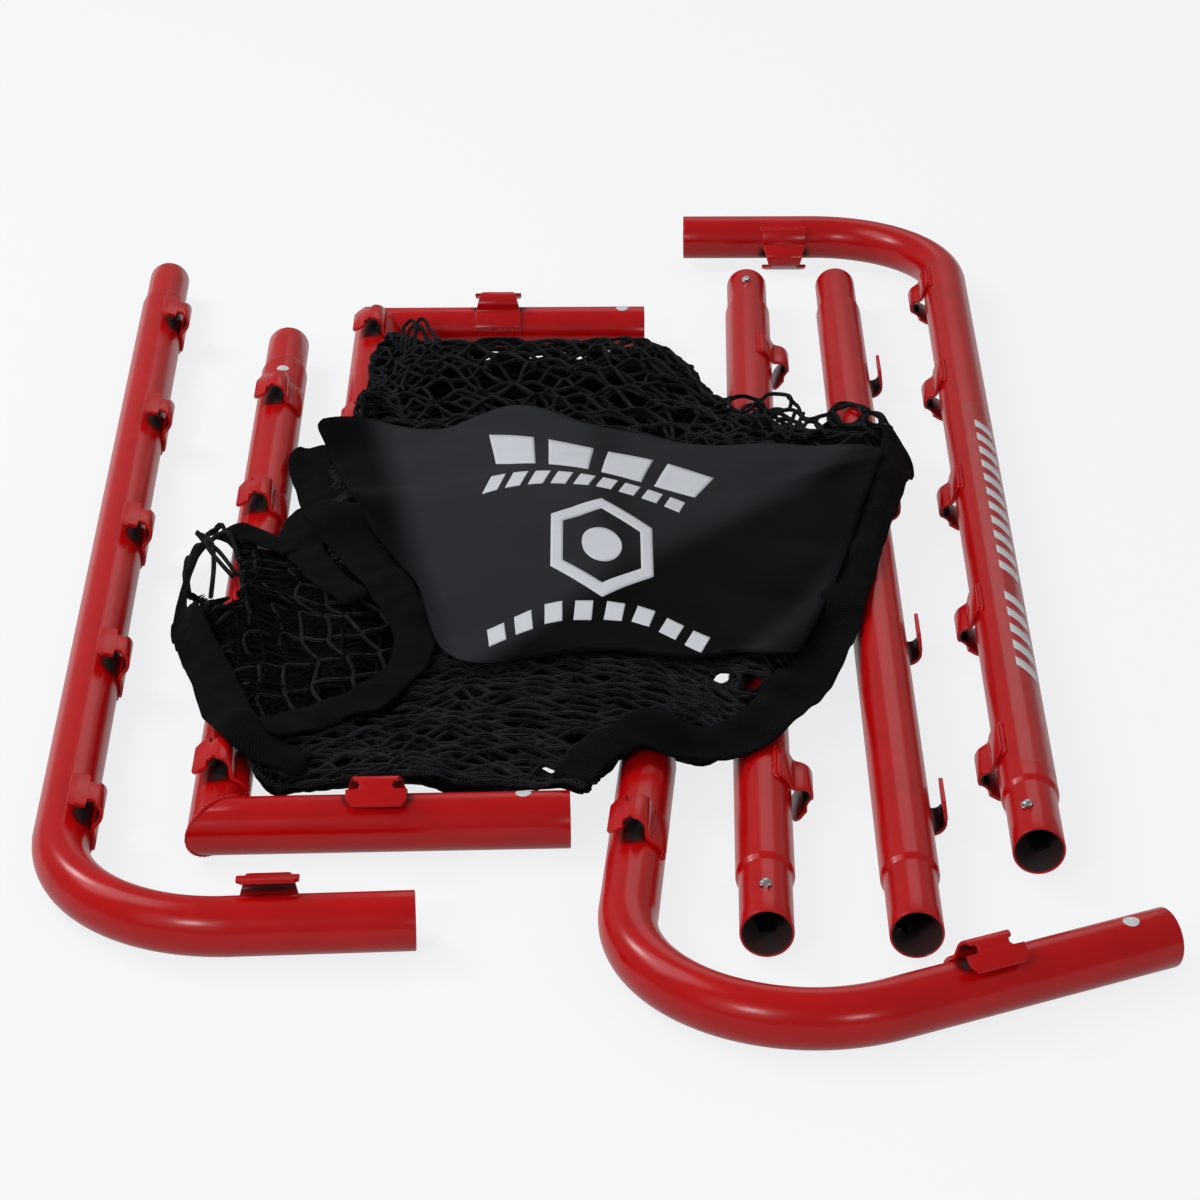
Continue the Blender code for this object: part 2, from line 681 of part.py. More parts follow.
def cloth_grid(points):
    """Flat triangles over a closed outline, and the neighbours that hold up each point off its edge."""
    outline = smooth_curve(points, NET_GRID, True)
    low = outline.min(axis=0)
    high = outline.max(axis=0)
    rows = []
    count = 0
    y = low[1]
    while y < high[1]:
        offset = NET_GRID / 2.0 * (count % 2)
        rows += [(x, y) for x in np.arange(low[0] + offset, high[0], NET_GRID)]
        y += NET_GRID * 0.866
        count += 1
    lattice = np.array(rows)
    keep = inside(lattice, outline) & (edge_distance(lattice, outline) > NET_GRID * 0.55)
    flat = [Vector(point) for point in outline] + [Vector(point) for point in lattice[keep]]
    ring = [tuple(range(len(outline)))]
    result = delaunay_2d_cdt(flat, [], ring, 1, 1e-6)
    triangles = [tuple(face) for face in result[2]]
    spans = [set() for _ in result[0]]
    edges = set()
    for a, b, c in triangles:
        edges |= {(a, b), (b, c), (c, a)}
    for a, b in edges:
        spans[a].add(b)
    free = {index for edge in edges if edge[::-1] not in edges for index in edge}
    spans = [[] if index in free else sorted(near) for index, near in enumerate(spans)]
    return np.array([tuple(point) for point in result[0]]), triangles, spans


def band_grid(path, width):
    """Flat triangles along a band of even width, and the neighbours along it that hold up each point."""
    middle = smooth_curve(path, BORDER_STEP, False)
    heading = np.gradient(middle, axis=0)
    heading /= np.linalg.norm(heading, axis=1)[:, None]
    side = np.stack([-heading[:, 1], heading[:, 0]], axis=1) * (width / 2.0)
    points = np.concatenate([middle + side, middle, middle - side])
    count = len(middle)
    triangles = []
    for lane in (0, count):
        for index in range(count - 1):
            left = lane + index
            right = left + count
            triangles += [(left, right, right + 1), (left, right + 1, left + 1)]
    lane = [[]] + [[index - 1, index + 1] for index in range(1, count - 1)] + [[]]
    spans = [[near + start for near in pair] for start in (0, count, 2 * count) for pair in lane]
    return points, triangles, spans


def triangle_samples(corners, support, need):
    """Shares of a triangle's corners at each lattice point in or just beside it, and the height needed there."""
    a, b, c = corners
    first = np.floor((corners.min(axis=0) - support.low) / NET_LATTICE).astype(int) - 1
    last = np.ceil((corners.max(axis=0) - support.low) / NET_LATTICE).astype(int) + 2
    columns, rows = np.meshgrid(np.arange(first[0], last[0]), np.arange(first[1], last[1]), indexing="ij")
    columns, rows = columns.ravel(), rows.ravel()
    spots = support.low + np.stack([columns, rows], axis=1) * NET_LATTICE
    twice_area = (b[0] - a[0]) * (c[1] - a[1]) - (c[0] - a[0]) * (b[1] - a[1])
    share_b = ((spots[:, 0] - a[0]) * (c[1] - a[1]) - (c[0] - a[0]) * (spots[:, 1] - a[1])) / twice_area
    share_c = ((b[0] - a[0]) * (spots[:, 1] - a[1]) - (spots[:, 0] - a[0]) * (b[1] - a[1])) / twice_area
    shares = np.stack([1.0 - share_b - share_c, share_b, share_c], axis=1)
    edges = np.array([np.linalg.norm(c - b), np.linalg.norm(a - c), np.linalg.norm(b - a)])
    outside = shares * abs(twice_area) / edges
    near = (outside > -1.5 * NET_LATTICE).all(axis=1)
    return shares[near], need[columns[near], rows[near]]


def settle(points, triangles, spans, support, tautness):
    """Heights at which the triangles clear the support everywhere, and span its gaps as tautly as asked."""
    need = support.widened() + NET_GAP
    heights = np.zeros(len(points))
    work = []
    for triangle in triangles:
        corners = points[list(triangle)]
        work.append((list(triangle), *triangle_samples(corners, support, need)))
        cells = np.round((corners - support.low) / NET_LATTICE).astype(int)
        np.maximum.at(heights, list(triangle), need[cells[:, 0], cells[:, 1]])
    pull_up(heights, work, 30)
    held = [index for index, near in enumerate(spans) if near]
    for _ in range(tautness):
        taut = np.array([heights[spans[index]].mean() for index in held]) - NET_SAG
        heights[held] = np.maximum(heights[held], taut)
    pull_up(heights, work, 60)
    for indices, shares, wanted in work:
        heights[indices] += max((wanted - shares @ heights[indices]).max(), 0.0)
    return heights


def pull_up(heights, work, rounds):
    """Raise the corners of each triangle that still dips below what it lies on, a little at a time."""
    for _ in range(rounds):
        for indices, shares, wanted in work:
            short = wanted - shares @ heights[indices]
            worst = short.argmax()
            if short[worst] > 0.0:
                pull = np.maximum(shares[worst], 0.0)
                heights[indices] += pull * short[worst] / (pull @ pull)


def let_down(points, triangles, heights, support):
    """Let each point down in small steps for as long as the triangles round it clear what lies below."""
    solids = BVHTree.FromPolygons(support.corners, support.faces)
    fans = [[] for _ in points]
    for triangle in triangles:
        for index in triangle:
            fans[index].append(triangle)
    for step in LET_DOWN_STEPS:
        for index, fan in enumerate(fans):
            before = heights[index]
            if before - step < NET_GAP:
                continue
            heights[index] = before - step
            used = sorted({corner for triangle in fan for corner in triangle})
            corners = [Vector((*points[corner], heights[corner] - NET_GAP)) for corner in used]
            faces = [tuple(used.index(corner) for corner in triangle) for triangle in fan]
            if solids.overlap(BVHTree.FromPolygons(corners, faces)):
                heights[index] = before
    return heights


def cloth_mesh(name, points, triangles, bottoms, tops):
    """A closed sheet between two height fields over the same flat triangles."""
    count = len(points)
    vertices = [(x, y, z) for (x, y), z in zip(points, bottoms)]
    vertices += [(x, y, z) for (x, y), z in zip(points, tops)]
    faces = [tuple(reversed(triangle)) for triangle in triangles]
    faces += [tuple(index + count for index in triangle) for triangle in triangles]
    directed = set()
    for a, b, c in triangles:
        directed |= {(a, b), (b, c), (c, a)}
    for a, b in sorted(directed):
        if (b, a) not in directed:
            faces.append((a, b, b + count, a + count))
    return mesh_from(name, vertices, faces)


def bump(x, y, centre, spread, height):
    """A smooth mound."""
    return height * np.exp(-((x - centre[0]) / spread[0]) ** 2 - ((y - centre[1]) / spread[1]) ** 2)


def netting_tops(points, bottoms):
    """Upper side of the heaped netting: a rim, the main mounds and the long folds."""
    x, y = points[:, 0], points[:, 1]
    crest = 0.055 - 0.020 * np.clip((-0.300 - x) / 0.050, 0.0, 1.0)
    crest += bump(x, y, (-0.050, 0.450), (0.200, 0.100), 0.030)
    crest += bump(x, y, (-0.030, 0.020), (0.150, 0.230), 0.042)
    crest += bump(x, y, (0.060, -0.300), (0.110, 0.060), 0.012)
    sweep = y * 0.96 + x * 0.28 + 0.9 * x * x
    crest += 0.005 * np.sin(2.0 * math.pi * sweep / 0.062)
    edge = smooth_curve(NETTING_OUTLINE, NET_GRID, True)
    climb = np.clip(edge_distance(points, edge) / NETTING_SLOPE, 0.0, 1.0)
    climb = climb * climb * (3.0 - 2.0 * climb)
    return np.maximum(bottoms + NETTING_LEAST, NETTING_RIM + (crest - NETTING_RIM) * climb)


def lay_cloth(name, grid, support, tautness, tops, finish):
    """Lay one piece of the net over everything placed so far."""
    points, triangles, spans = grid
    bottoms = let_down(points, triangles, settle(points, triangles, spans, support, tautness), support)
    piece = new_object(name, cloth_mesh(name, points, triangles, bottoms, tops(points, bottoms)), finish, 60.0)
    support.add(piece)
    return piece


def lay_net(frame_pieces, finishes):
    """The net on the frame: netting first, then its border bands, then the smooth panel."""
    support = Support((NETTING_OUTLINE, PANEL_OUTLINE, RIGHT_BORDER, LEFT_BORDER, INNER_BORDER))
    for piece in frame_pieces:
        support.add(piece)
    lay_cloth("net_netting", cloth_grid(NETTING_OUTLINE), support, NETTING_TAUTNESS, netting_tops, finishes[0])
    for name, path in (
        ("net_border_right", RIGHT_BORDER), ("net_border_left", LEFT_BORDER), ("net_border_inner", INNER_BORDER),
    ):
        lay_cloth(name, band_grid(path, BORDER_WIDTH), support, BORDER_TAUTNESS,
                  lambda _, low: low + BORDER_THICKNESS, finishes[1])
    lay_cloth("net_panel", cloth_grid(PANEL_OUTLINE), support, PANEL_TAUTNESS,
              lambda _, low: low + PANEL_THICKNESS, finishes[2])


def frame_corner(name, place, height, heading, hand, angle, legs, ends, join, fittings, meshes, finishes):
    """One cornered tube with its clips, its snap button and its socket holes."""
    rows, clip_angle, over, button_angle, hole_angle = fittings
    tube = corner_tube(name, place, height, heading, hand, angle, legs, ends, join, finishes[0])
    corner = Vector((place[0], place[1], height))
    first = direction(heading)
    second = direction(heading - hand * angle)
    inner_first = (second - first * second.dot(first)).normalized()
    inner_second = (first - second * first.dot(second)).normalized()
    straight = bend_setback(angle) if join is bend_stations else 0.0
    sides = (
        (name + "_clip", first, inner_first, rows[0], legs[0], ends[0]),
        (name + "_short_clip", second, inner_second, rows[1], legs[1], ends[1]),
    )
    for prefix, along, inner, row, length, kind in sides:
        for number, distance in enumerate(clip_row(row, straight, length), 1):
            label = f"{prefix}_{number}" if row[0] > 1 else prefix
            add_clip(label, meshes[0], corner + along * distance, inner, clip_angle, over, finishes[0])
        end = corner + along * length
        if kind is plug_end:
            snap_button(tube, name, meshes[1:], end, -along, inner, button_angle, finishes[1:])
        else:
            socket_hole(tube, end, -along, inner, hole_angle)


def frame_post(name, place, height, heading, angle, over, clips, meshes, finishes):
    """One straight post with its clips and a snap button at either end."""
    tube = straight_tube(name, place, height, heading, POST_LENGTH, finishes[0])
    start = Vector((place[0], place[1], height))
    along = direction(heading)
    inner = direction(heading - 90.0)
    button_angle = angle - BUTTON_OFFSET if over else angle + BUTTON_OFFSET
    for number, distance in enumerate(clips, 1):
        add_clip(f"{name}_clip_{number}", meshes[0], start + along * distance, inner, angle, over, finishes[0])
    snap_button(tube, name + "_lower", meshes[1:], start, along, inner, button_angle, finishes[1:])
    snap_button(tube, name + "_upper", meshes[1:], start + along * POST_LENGTH, -along, inner,
                button_angle, finishes[1:])


def centre_layout():
    """Move everything so that the layout is centred on the origin."""
    bpy.context.view_layer.update()
    corners = []
    for piece in bpy.data.objects:
        if not piece.hide_render:
            corners += [piece.matrix_world @ vertex.co for vertex in piece.data.vertices]
    flat = np.array([tuple(corner) for corner in corners])[:, :2]
    middle = (flat.min(axis=0) + flat.max(axis=0)) / 2.0
    for piece in bpy.data.objects:
        piece.location.x -= middle[0]
        piece.location.y -= middle[1]


def main():
    for piece in list(bpy.data.objects):
        bpy.data.objects.remove(piece)
    red = material("powder_coat", POWDER_RED, 0.38, 0.0)
    chrome = material("chrome", CHROME, 0.12, 1.0)
    steel = material("spring_steel", SPRING_STEEL, 0.45, 0.8)
    cloth = (
        material("netting", NETTING_BLACK, 0.85, 0.0),
        material("border_knit", BORDER_BLACK, 0.9, 0.0),
        material("panel_vinyl", PANEL_CHARCOAL, 0.5, 0.0),
    )
    finishes = (red, chrome, steel)
    meshes = (clip_mesh(), button_mesh(), spring_mesh())

    flat = TUBE_DIAMETER / 2.0
    rail_legs = (RAIL_LONG_LEG, RAIL_SHORT_LEG)
    rail_rows = (RAIL_CLIPS, (1, RAIL_SHORT_CLIP, 0.0))
    frame_corner(
        "left_base_rail", LEFT_RAIL_PLACE, rest_height(LEFT_RAIL_CLIP_ANGLE, True), LEFT_RAIL_HEADING, 1,
        RAIL_CORNER_ANGLE, rail_legs, (plug_end, socket_end), bend_stations,
        (rail_rows, LEFT_RAIL_CLIP_ANGLE, True,
         LEFT_RAIL_CLIP_ANGLE - BUTTON_OFFSET, LEFT_RAIL_CLIP_ANGLE - SOCKET_HOLE_OFFSET), meshes, finishes)
    frame_corner(
        "right_base_rail", right_rail_place(), rest_height(RIGHT_RAIL_CLIP_ANGLE, False), RIGHT_RAIL_HEADING, 1,
        RAIL_CORNER_ANGLE, rail_legs, (plug_end, socket_end), bend_stations,
        (rail_rows, RIGHT_RAIL_CLIP_ANGLE, False,
         RIGHT_RAIL_CLIP_ANGLE + BUTTON_OFFSET, RIGHT_RAIL_CLIP_ANGLE + SOCKET_HOLE_OFFSET), meshes, finishes)
    crossbar_short = (1, CROSSBAR_SHORT_CLIP, 0.0)
    frame_corner(
        "lower_crossbar_corner", LOWER_CROSSBAR_PLACE, flat, LOWER_CROSSBAR_HEADING, 1, MITRE_CORNER_ANGLE,
        (CROSSBAR_PLUG_LEG, CROSSBAR_SHORT_LEG), (plug_end, socket_end), mitre_stations,
        ((PLUG_LEG_CLIPS, crossbar_short), CROSSBAR_CLIP_ANGLE, True, CROSSBAR_BUTTON_ANGLE, HIDDEN_HOLE_ANGLE),
        meshes, finishes)
    frame_corner(
        "upper_crossbar_corner", UPPER_CROSSBAR_PLACE, flat, UPPER_CROSSBAR_HEADING, -1, MITRE_CORNER_ANGLE,
        (CROSSBAR_SOCKET_LEG, CROSSBAR_SHORT_LEG), (socket_end, socket_end), mitre_stations,
        ((SOCKET_LEG_CLIPS, crossbar_short), CROSSBAR_CLIP_ANGLE, True, CROSSBAR_BUTTON_ANGLE, HIDDEN_HOLE_ANGLE),
        meshes, finishes)
    frame_corner(
        "rear_apex", APEX_PLACE, flat, APEX_HEADING, 1, APEX_CORNER_ANGLE, (APEX_LEG, APEX_LEG),
        (socket_end, socket_end), bend_stations,
        (((1, APEX_CLIP, 0.0), (1, APEX_SHORT_CLIP, 0.0)), APEX_CLIP_ANGLE, True,
         CROSSBAR_BUTTON_ANGLE, HIDDEN_HOLE_ANGLE), meshes, finishes)
    clips = clip_row(POST_CLIPS, 0.0, POST_LENGTH)
    frame_post("left_post", LEFT_POST_PLACE, rest_height(LEFT_POST_CLIP_ANGLE, False), LEFT_POST_HEADING,
               LEFT_POST_CLIP_ANGLE, False, clips, meshes, finishes)
    turned_round = [POST_LENGTH - distance for distance in reversed(clips)]
    frame_post("right_post", RIGHT_POST_PLACE, rest_height(RIGHT_POST_CLIP_ANGLE, True), RIGHT_POST_HEADING,
               RIGHT_POST_CLIP_ANGLE, True, turned_round, meshes, finishes)
    lay_net([piece for piece in bpy.data.objects if not piece.hide_render], cloth)
    centre_layout()


main()
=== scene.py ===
import json
import math

import bmesh
import bpy
import numpy as np
from mathutils import Matrix, Vector
from mathutils.bvhtree import BVHTree
from mathutils.kdtree import KDTree


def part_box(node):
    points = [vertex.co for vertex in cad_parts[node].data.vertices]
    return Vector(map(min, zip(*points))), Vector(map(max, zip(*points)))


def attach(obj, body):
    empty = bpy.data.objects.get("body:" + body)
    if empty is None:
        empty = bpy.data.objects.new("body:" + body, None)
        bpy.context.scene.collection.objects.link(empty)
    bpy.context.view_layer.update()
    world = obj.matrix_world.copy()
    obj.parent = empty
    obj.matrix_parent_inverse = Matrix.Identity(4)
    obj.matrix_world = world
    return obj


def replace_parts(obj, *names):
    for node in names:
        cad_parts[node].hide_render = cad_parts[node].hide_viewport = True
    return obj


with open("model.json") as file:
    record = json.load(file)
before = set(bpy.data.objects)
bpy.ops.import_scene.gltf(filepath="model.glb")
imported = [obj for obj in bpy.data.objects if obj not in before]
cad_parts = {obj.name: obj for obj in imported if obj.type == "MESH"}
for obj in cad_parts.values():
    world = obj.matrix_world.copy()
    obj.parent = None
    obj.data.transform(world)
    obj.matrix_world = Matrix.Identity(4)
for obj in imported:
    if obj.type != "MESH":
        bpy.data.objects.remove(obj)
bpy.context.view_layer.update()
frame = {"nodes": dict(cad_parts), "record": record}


CAMERA_LENS = 108.68
CAMERA_SENSOR = 36.0
CAMERA_REACH = 60.0
CAMERA_PLACE = (0.02844, -3.232832, 1.569188)
CAMERA_TILT = 63.687
CAMERA_ROLL = -0.355
camera = bpy.data.objects.new("camera", bpy.data.cameras.new("camera"))
bpy.context.scene.collection.objects.link(camera)
camera.data.lens = CAMERA_LENS
camera.data.sensor_width = CAMERA_SENSOR
camera.data.clip_end = CAMERA_REACH
camera.matrix_world = (
    Matrix.Translation(CAMERA_PLACE)
    @ Matrix.Rotation(math.radians(CAMERA_TILT), 4, "X")
    @ Matrix.Rotation(math.radians(CAMERA_ROLL), 4, "Z")
)
bpy.context.scene.camera = camera
bpy.context.scene.view_settings.view_transform = "Standard"


# Studio: a pale sweep of floor under even light, with large soft lamps from the left, the front and the
# back, and small ones for the highlights along the bends.
FLOOR_SIZE = 14.0
FLOOR_FADE = (2.6, 6.5)
FLOOR_TONE = (0.946, 0.956, 0.972, 1.0)
FLOOR_BODY = (0.42, 0.42, 0.43, 1.0)
SHADOW_SHARE = 0.16
SKY_LEVEL = 0.42
# Each lamp: name, place, size of its square, power
LAMPS = (
    ("key_lamp", (-2.3, 0.6, 3.0), 2.2, 40.0),
    ("fill_lamp", (-1.7, -3.0, 1.9), 2.4, 11.0),
    ("back_lamp", (0.6, 3.4, 2.4), 2.0, 10.0),
    ("front_left_spot", (-1.25, -2.85, 1.80), 0.50, 18.0),
    ("front_right_spot", (1.33, -3.33, 1.36), 0.45, 11.0),
    ("rear_left_spot", (-2.1, 0.9, 2.0), 0.55, 15.0),
)


class ShadeTree:
    """Short ways to build a node tree."""

    def __init__(self, tree):
        self.nodes, self.links = tree.nodes, tree.links

    def feed(self, node, *first, **named):
        """Fill a node's sockets: the first ones in order, then the named ones, with underscores for spaces.
        An output of another node is joined to its socket, and any other value is set on it."""
        sockets = list(enumerate(first)) + [(word.replace("_", " "), value) for word, value in named.items()]
        for socket, value in sockets:
            if isinstance(value, bpy.types.NodeSocket):
                self.links.new(value, node.inputs[socket])
            else:
                node.inputs[socket].default_value = value

    def add(self, kind, *first, **named):
        """Outputs of a new node. Words with a small first letter are settings, the rest fill sockets."""
        node = self.nodes.new("ShaderNode" + kind)
        for word in [word for word in named if word[0].islower()]:
            setattr(node, word, named.pop(word))
        self.feed(node, *first, **named)
        return node.outputs

    def math(self, operation, *values):
        """Result of one operation on up to three values."""
        return self.add("Math", *values, operation=operation)[0]

    def ramp(self, share, *stops):
        """Colour at a share of a ramp, whose stops are a place and a colour or a level of grey."""
        node = self.nodes.new("ShaderNodeValToRGB")
        elements = node.color_ramp.elements
        while len(elements) < len(stops):
            elements.new(0.5)
        for element, (place, colour) in zip(elements, stops):
            element.position = place
            element.color = (*colour[:3], 1.0) if np.ndim(colour) else (colour, colour, colour, 1.0)
        self.links.new(share, node.inputs["Fac"])
        return node.outputs["Color"]

    def tinted(self, share, colour, tint):
        """A colour multiplied by a share of a tint."""
        node = self.nodes.new("ShaderNodeMix")
        node.data_type, node.blend_type = "RGBA", "MULTIPLY"
        self.feed(node, share)
        self.links.new(colour, node.inputs[6])
        self.links.new(tint, node.inputs[7])
        return node.outputs[2]

    def bump(self, height, strength, distance, **settings):
        """Normal of a relief of the given height."""
        return self.add("Bump", Height=height, Strength=strength, Distance=distance, **settings)["Normal"]


class Finish(ShadeTree):
    """A material under construction."""

    def __init__(self, name):
        self.material = bpy.data.materials.new(name)
        self.material.use_nodes = True
        super().__init__(self.material.node_tree)

    def surface(self, **sockets):
        """The material, with its surface shader fed."""
        self.feed(self.nodes["Principled BSDF"], **sockets)
        return self.material


def studio_floor():
    """A flat square that the camera, glossy and clear surfaces see in the pale tone, but for the
    shadow."""
    half = FLOOR_SIZE / 2.0
    mesh = bpy.data.meshes.new("studio_floor")
    corners = [(-half, -half, 0), (half, -half, 0), (half, half, 0), (-half, half, 0)]
    mesh.from_pydata(corners, [], [(0, 1, 2, 3)])
    paint = Finish("studio_floor")
    paint.nodes.clear()
    reach = paint.add("VectorMath", paint.add("TexCoord")["Object"], operation="LENGTH")["Value"]
    fade = paint.add("MapRange", Value=reach, From_Min=FLOOR_FADE[0], From_Max=FLOOR_FADE[1],
                     To_Min=1.0 - SHADOW_SHARE, To_Max=1.0)["Result"]
    shaded, glow = paint.add("BsdfDiffuse", FLOOR_TONE)[0], paint.add("Emission", FLOOR_TONE)[0]
    path = paint.add("LightPath")
    direct = paint.math("MAXIMUM", path["Is Camera Ray"], path["Is Glossy Ray"])
    direct = paint.math("MAXIMUM", direct, path["Is Transmission Ray"])
    seen = paint.add("MixShader", fade, shaded, glow)[0]
    mix = paint.add("MixShader", direct, paint.add("BsdfDiffuse", FLOOR_BODY)[0], seen)[0]
    paint.add("OutputMaterial", Surface=mix)
    mesh.materials.append(paint.material)
    floor = bpy.data.objects.new("studio_floor", mesh)
    bpy.context.scene.collection.objects.link(floor)


def studio_sky():
    """Even pale light from all round; the camera sees it in the floor's tone."""
    sky = bpy.data.worlds.new("studio_sky")
    bpy.context.scene.world = sky
    sky.use_nodes = True
    tree = ShadeTree(sky.node_tree)
    tree.nodes.clear()
    light, tone = tree.add("Background", Strength=SKY_LEVEL)[0], tree.add("Background", FLOOR_TONE)[0]
    mix = tree.add("MixShader", tree.add("LightPath")["Is Camera Ray"], light, tone)[0]
    tree.add("OutputWorld", Surface=mix)


studio_floor()
studio_sky()
for name, place, size, power in LAMPS:
    lamp = bpy.data.objects.new(name, bpy.data.lights.new(name, "AREA"))
    bpy.context.scene.collection.objects.link(lamp)
    lamp.data.size = size
    lamp.data.energy = power
    lamp.location = place
    lamp.rotation_mode = "QUATERNION"
    lamp.rotation_quaternion = Vector(place).to_track_quat("Z", "Y")


# Frame tubes: seven lengths of 50 mm steel tube with a 2 mm wall, cut square, bent on a former or
# mitred and welded, their male ends swaged down to a plug. A red powder coat covers each, thin inside.
TUBE_RADIUS = 0.025
TUBE_WALL = 0.002
TUBE_SIDES = 64
PLUG_RADIUS = 0.0225
PLUG_LENGTH = 0.082
SHOULDER_LENGTH = 0.009
BEND_RADIUS = 0.146
BEND_FLATTENING = 0.06
BEND_STEPS = 48
RING_PITCH = 0.030
HOLE_RINGS = (0.008, 0.002)
CLIP_RINGS = (0.048, 0.004)
BUTTON_HOLE_RADIUS = 0.00505
BUTTON_FROM_END = 0.039
# Painted shade under a clip's arch: its middle and spread in degrees, its reach and fading along the tube
CLIP_ARCH_TURN = 44.0
CLIP_SHADE_TURN = 24.0
CLIP_SHADE_REACH = 0.038
CLIP_SHADE_FADE = 0.020
POWDER_RED = (0.505, 0.0018, 0.0026, 1.0)
# Colours of the painted shade under the clips' arches: a darker red, then dark grey
ARCH_SHADE_RED = (0.13, 0.005, 0.006, 1.0)
ARCH_SHADE_DARK = (0.040, 0.030, 0.030, 1.0)
POWDER_GLOSS = 0.60
UP = np.array((0.0, 0.0, 1.0))

# Each tube: heading of its long leg, side that its short leg turns to, angle between the legs, lengths of
# the legs from the corner, kinds of end, kind of corner, then where the clips, buttons and holes sit round it
TUBES = {
    "left_base_rail": (91.9, 1, 89.1, (1.455, 0.302), ("plug", "socket"), "bend", 0.0, True, -55.0, -110.0),
    "right_base_rail": (-91.5, 1, 89.1, (1.455, 0.302), ("plug", "socket"), "bend", 15.0, False, 70.0, 125.0),
    "lower_crossbar_corner":
        (91.0, 1, 89.5, (1.080, 0.302), ("plug", "socket"), "mitre", 49.0, True, -50.0, -90.0),
    "upper_crossbar_corner":
        (-89.6, -1, 89.5, (0.908, 0.302), ("socket", "socket"), "mitre", 49.0, True, 0.0, -90.0),
    "rear_apex": (85.5, 1, 61.0, (0.500, 0.500), ("socket", "socket"), "bend", 49.0, True, 0.0, -90.0),
    "left_post": (88.44, 1, 180.0, (1.432, 0.0), ("plug", "plug"), "straight", 37.5, False, 92.5, 0.0),
    "right_post": (89.19, 1, 180.0, (1.432, 0.0), ("plug", "plug"), "straight", -68.0, True, -123.0, 0.0),
}
BODY_OF = {node: body for body, nodes in frame["record"]["behaviour"]["bodies"].items() for node in nodes}


def heading_line(degrees):
    """Unit vector along the floor at a heading in degrees."""
    return np.array((math.cos(math.radians(degrees)), math.sin(math.radians(degrees)), 0.0))


def unit(vectors):
    """Vectors over their lengths."""
    return vectors / np.linalg.norm(vectors, axis=-1, keepdims=True)


def grid_faces(rows, columns, round_rows, round_columns):
    """Quads between neighbouring points of a grid, counted row by row, that may close on itself."""
    row = np.arange(rows if round_rows else rows - 1)[:, None]
    column = np.arange(columns if round_columns else columns - 1)[None, :]
    low, high = row * columns, (row + 1) % rows * columns
    left, right = column, (column + 1) % columns
    return np.stack([low + left, low + right, high + right, high + left], axis=-1).reshape(-1, 4)


def full_turn(count):
    """Even angles round a full turn, the first one nought."""
    return np.linspace(0.0, 2.0 * math.pi, count, endpoint=False)


def smooth_step(share):
    """Smooth step from 0 to 1: three times the square of the share less twice its cube."""
    share = np.clip(share, 0.0, 1.0)
    return share * share * (3.0 - 2.0 * share)


def new_piece(name, points, faces, finish, body, slot=None, uv=None):
    """Put points and faces into a mesh whose faces point outwards, and let the piece ride on its body."""
    mesh = bpy.data.meshes.new(name)
    points = np.asarray(points, float).reshape(-1, 3)
    if hasattr(faces, "shape"):
        used, renumbered = np.unique(faces, return_inverse=True)
        points, faces = points[used], renumbered.reshape(faces.shape).tolist()
    mesh.from_pydata(points.tolist(), [], faces)
    if uv:
        mesh.uv_layers.new(name=uv[0]).data.foreach_set("uv", np.asarray(uv[1], np.float32).reshape(-1))
    build = bmesh.new()
    build.from_mesh(mesh)
    bmesh.ops.remove_doubles(build, verts=build.verts, dist=1e-6)
    bmesh.ops.recalc_face_normals(build, faces=build.faces[:])
    build.to_mesh(mesh)
    build.free()
    mesh.materials.append(finish)
    mesh.shade_smooth()
    piece = bpy.data.objects.new(name, mesh)
    bpy.context.scene.collection.objects.link(piece)
    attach(piece, body)
    return piece


def mesh_points(mesh):
    """The mesh's points as an array."""
    points = np.empty(len(mesh.vertices) * 3)
    mesh.vertices.foreach_get("co", points)
    return points.reshape(-1, 3)


def paint_attribute(piece, name, values):
    """Store one number for each point of a piece, for its material to read."""
    attribute = piece.data.attributes.new(name, "FLOAT", "POINT")
    attribute.data.foreach_set("value", np.asarray(values, np.float32))


def relief_group():
    """Group: fine and broad noise over the surface, put out as a height that mixes them and a broad mask."""
    group = bpy.data.node_groups.new("surface_relief", "ShaderNodeTree")
    for label, value in (("Fine Scale", 600.0), ("Broad Scale", 30.0), ("Broad Share", 0.3)):
        group.interface.new_socket(label, in_out="INPUT", socket_type="NodeSocketFloat").default_value = value
    for label in ("Height", "Broad"):
        group.interface.new_socket(label, in_out="OUTPUT", socket_type="NodeSocketFloat")
    tree = ShadeTree(group)
    given, result = tree.nodes.new("NodeGroupInput").outputs, tree.nodes.new("NodeGroupOutput")
    place, mix = tree.add("TexCoord")["Object"], tree.nodes.new("ShaderNodeMix")
    fine = tree.add("TexNoise", Vector=place, Scale=given["Fine Scale"], Detail=2.0, Roughness=0.5)["Fac"]
    broad = tree.add("TexNoise", Vector=place, Scale=given["Broad Scale"], Detail=4.0, Roughness=0.6)["Fac"]
    for socket, value in ((0, given["Broad Share"]), (2, fine), (3, broad)):
        tree.links.new(value, mix.inputs[socket])
    tree.feed(result, Height=mix.outputs[0], Broad=broad)
    return group


SURFACE_RELIEF = relief_group()


def relief(tree, fine, broad, share):
    """Outputs of the relief group, placed in a material with its own scales."""
    return tree.add("Group", node_tree=SURFACE_RELIEF, Fine_Scale=fine, Broad_Scale=broad, Broad_Share=share)


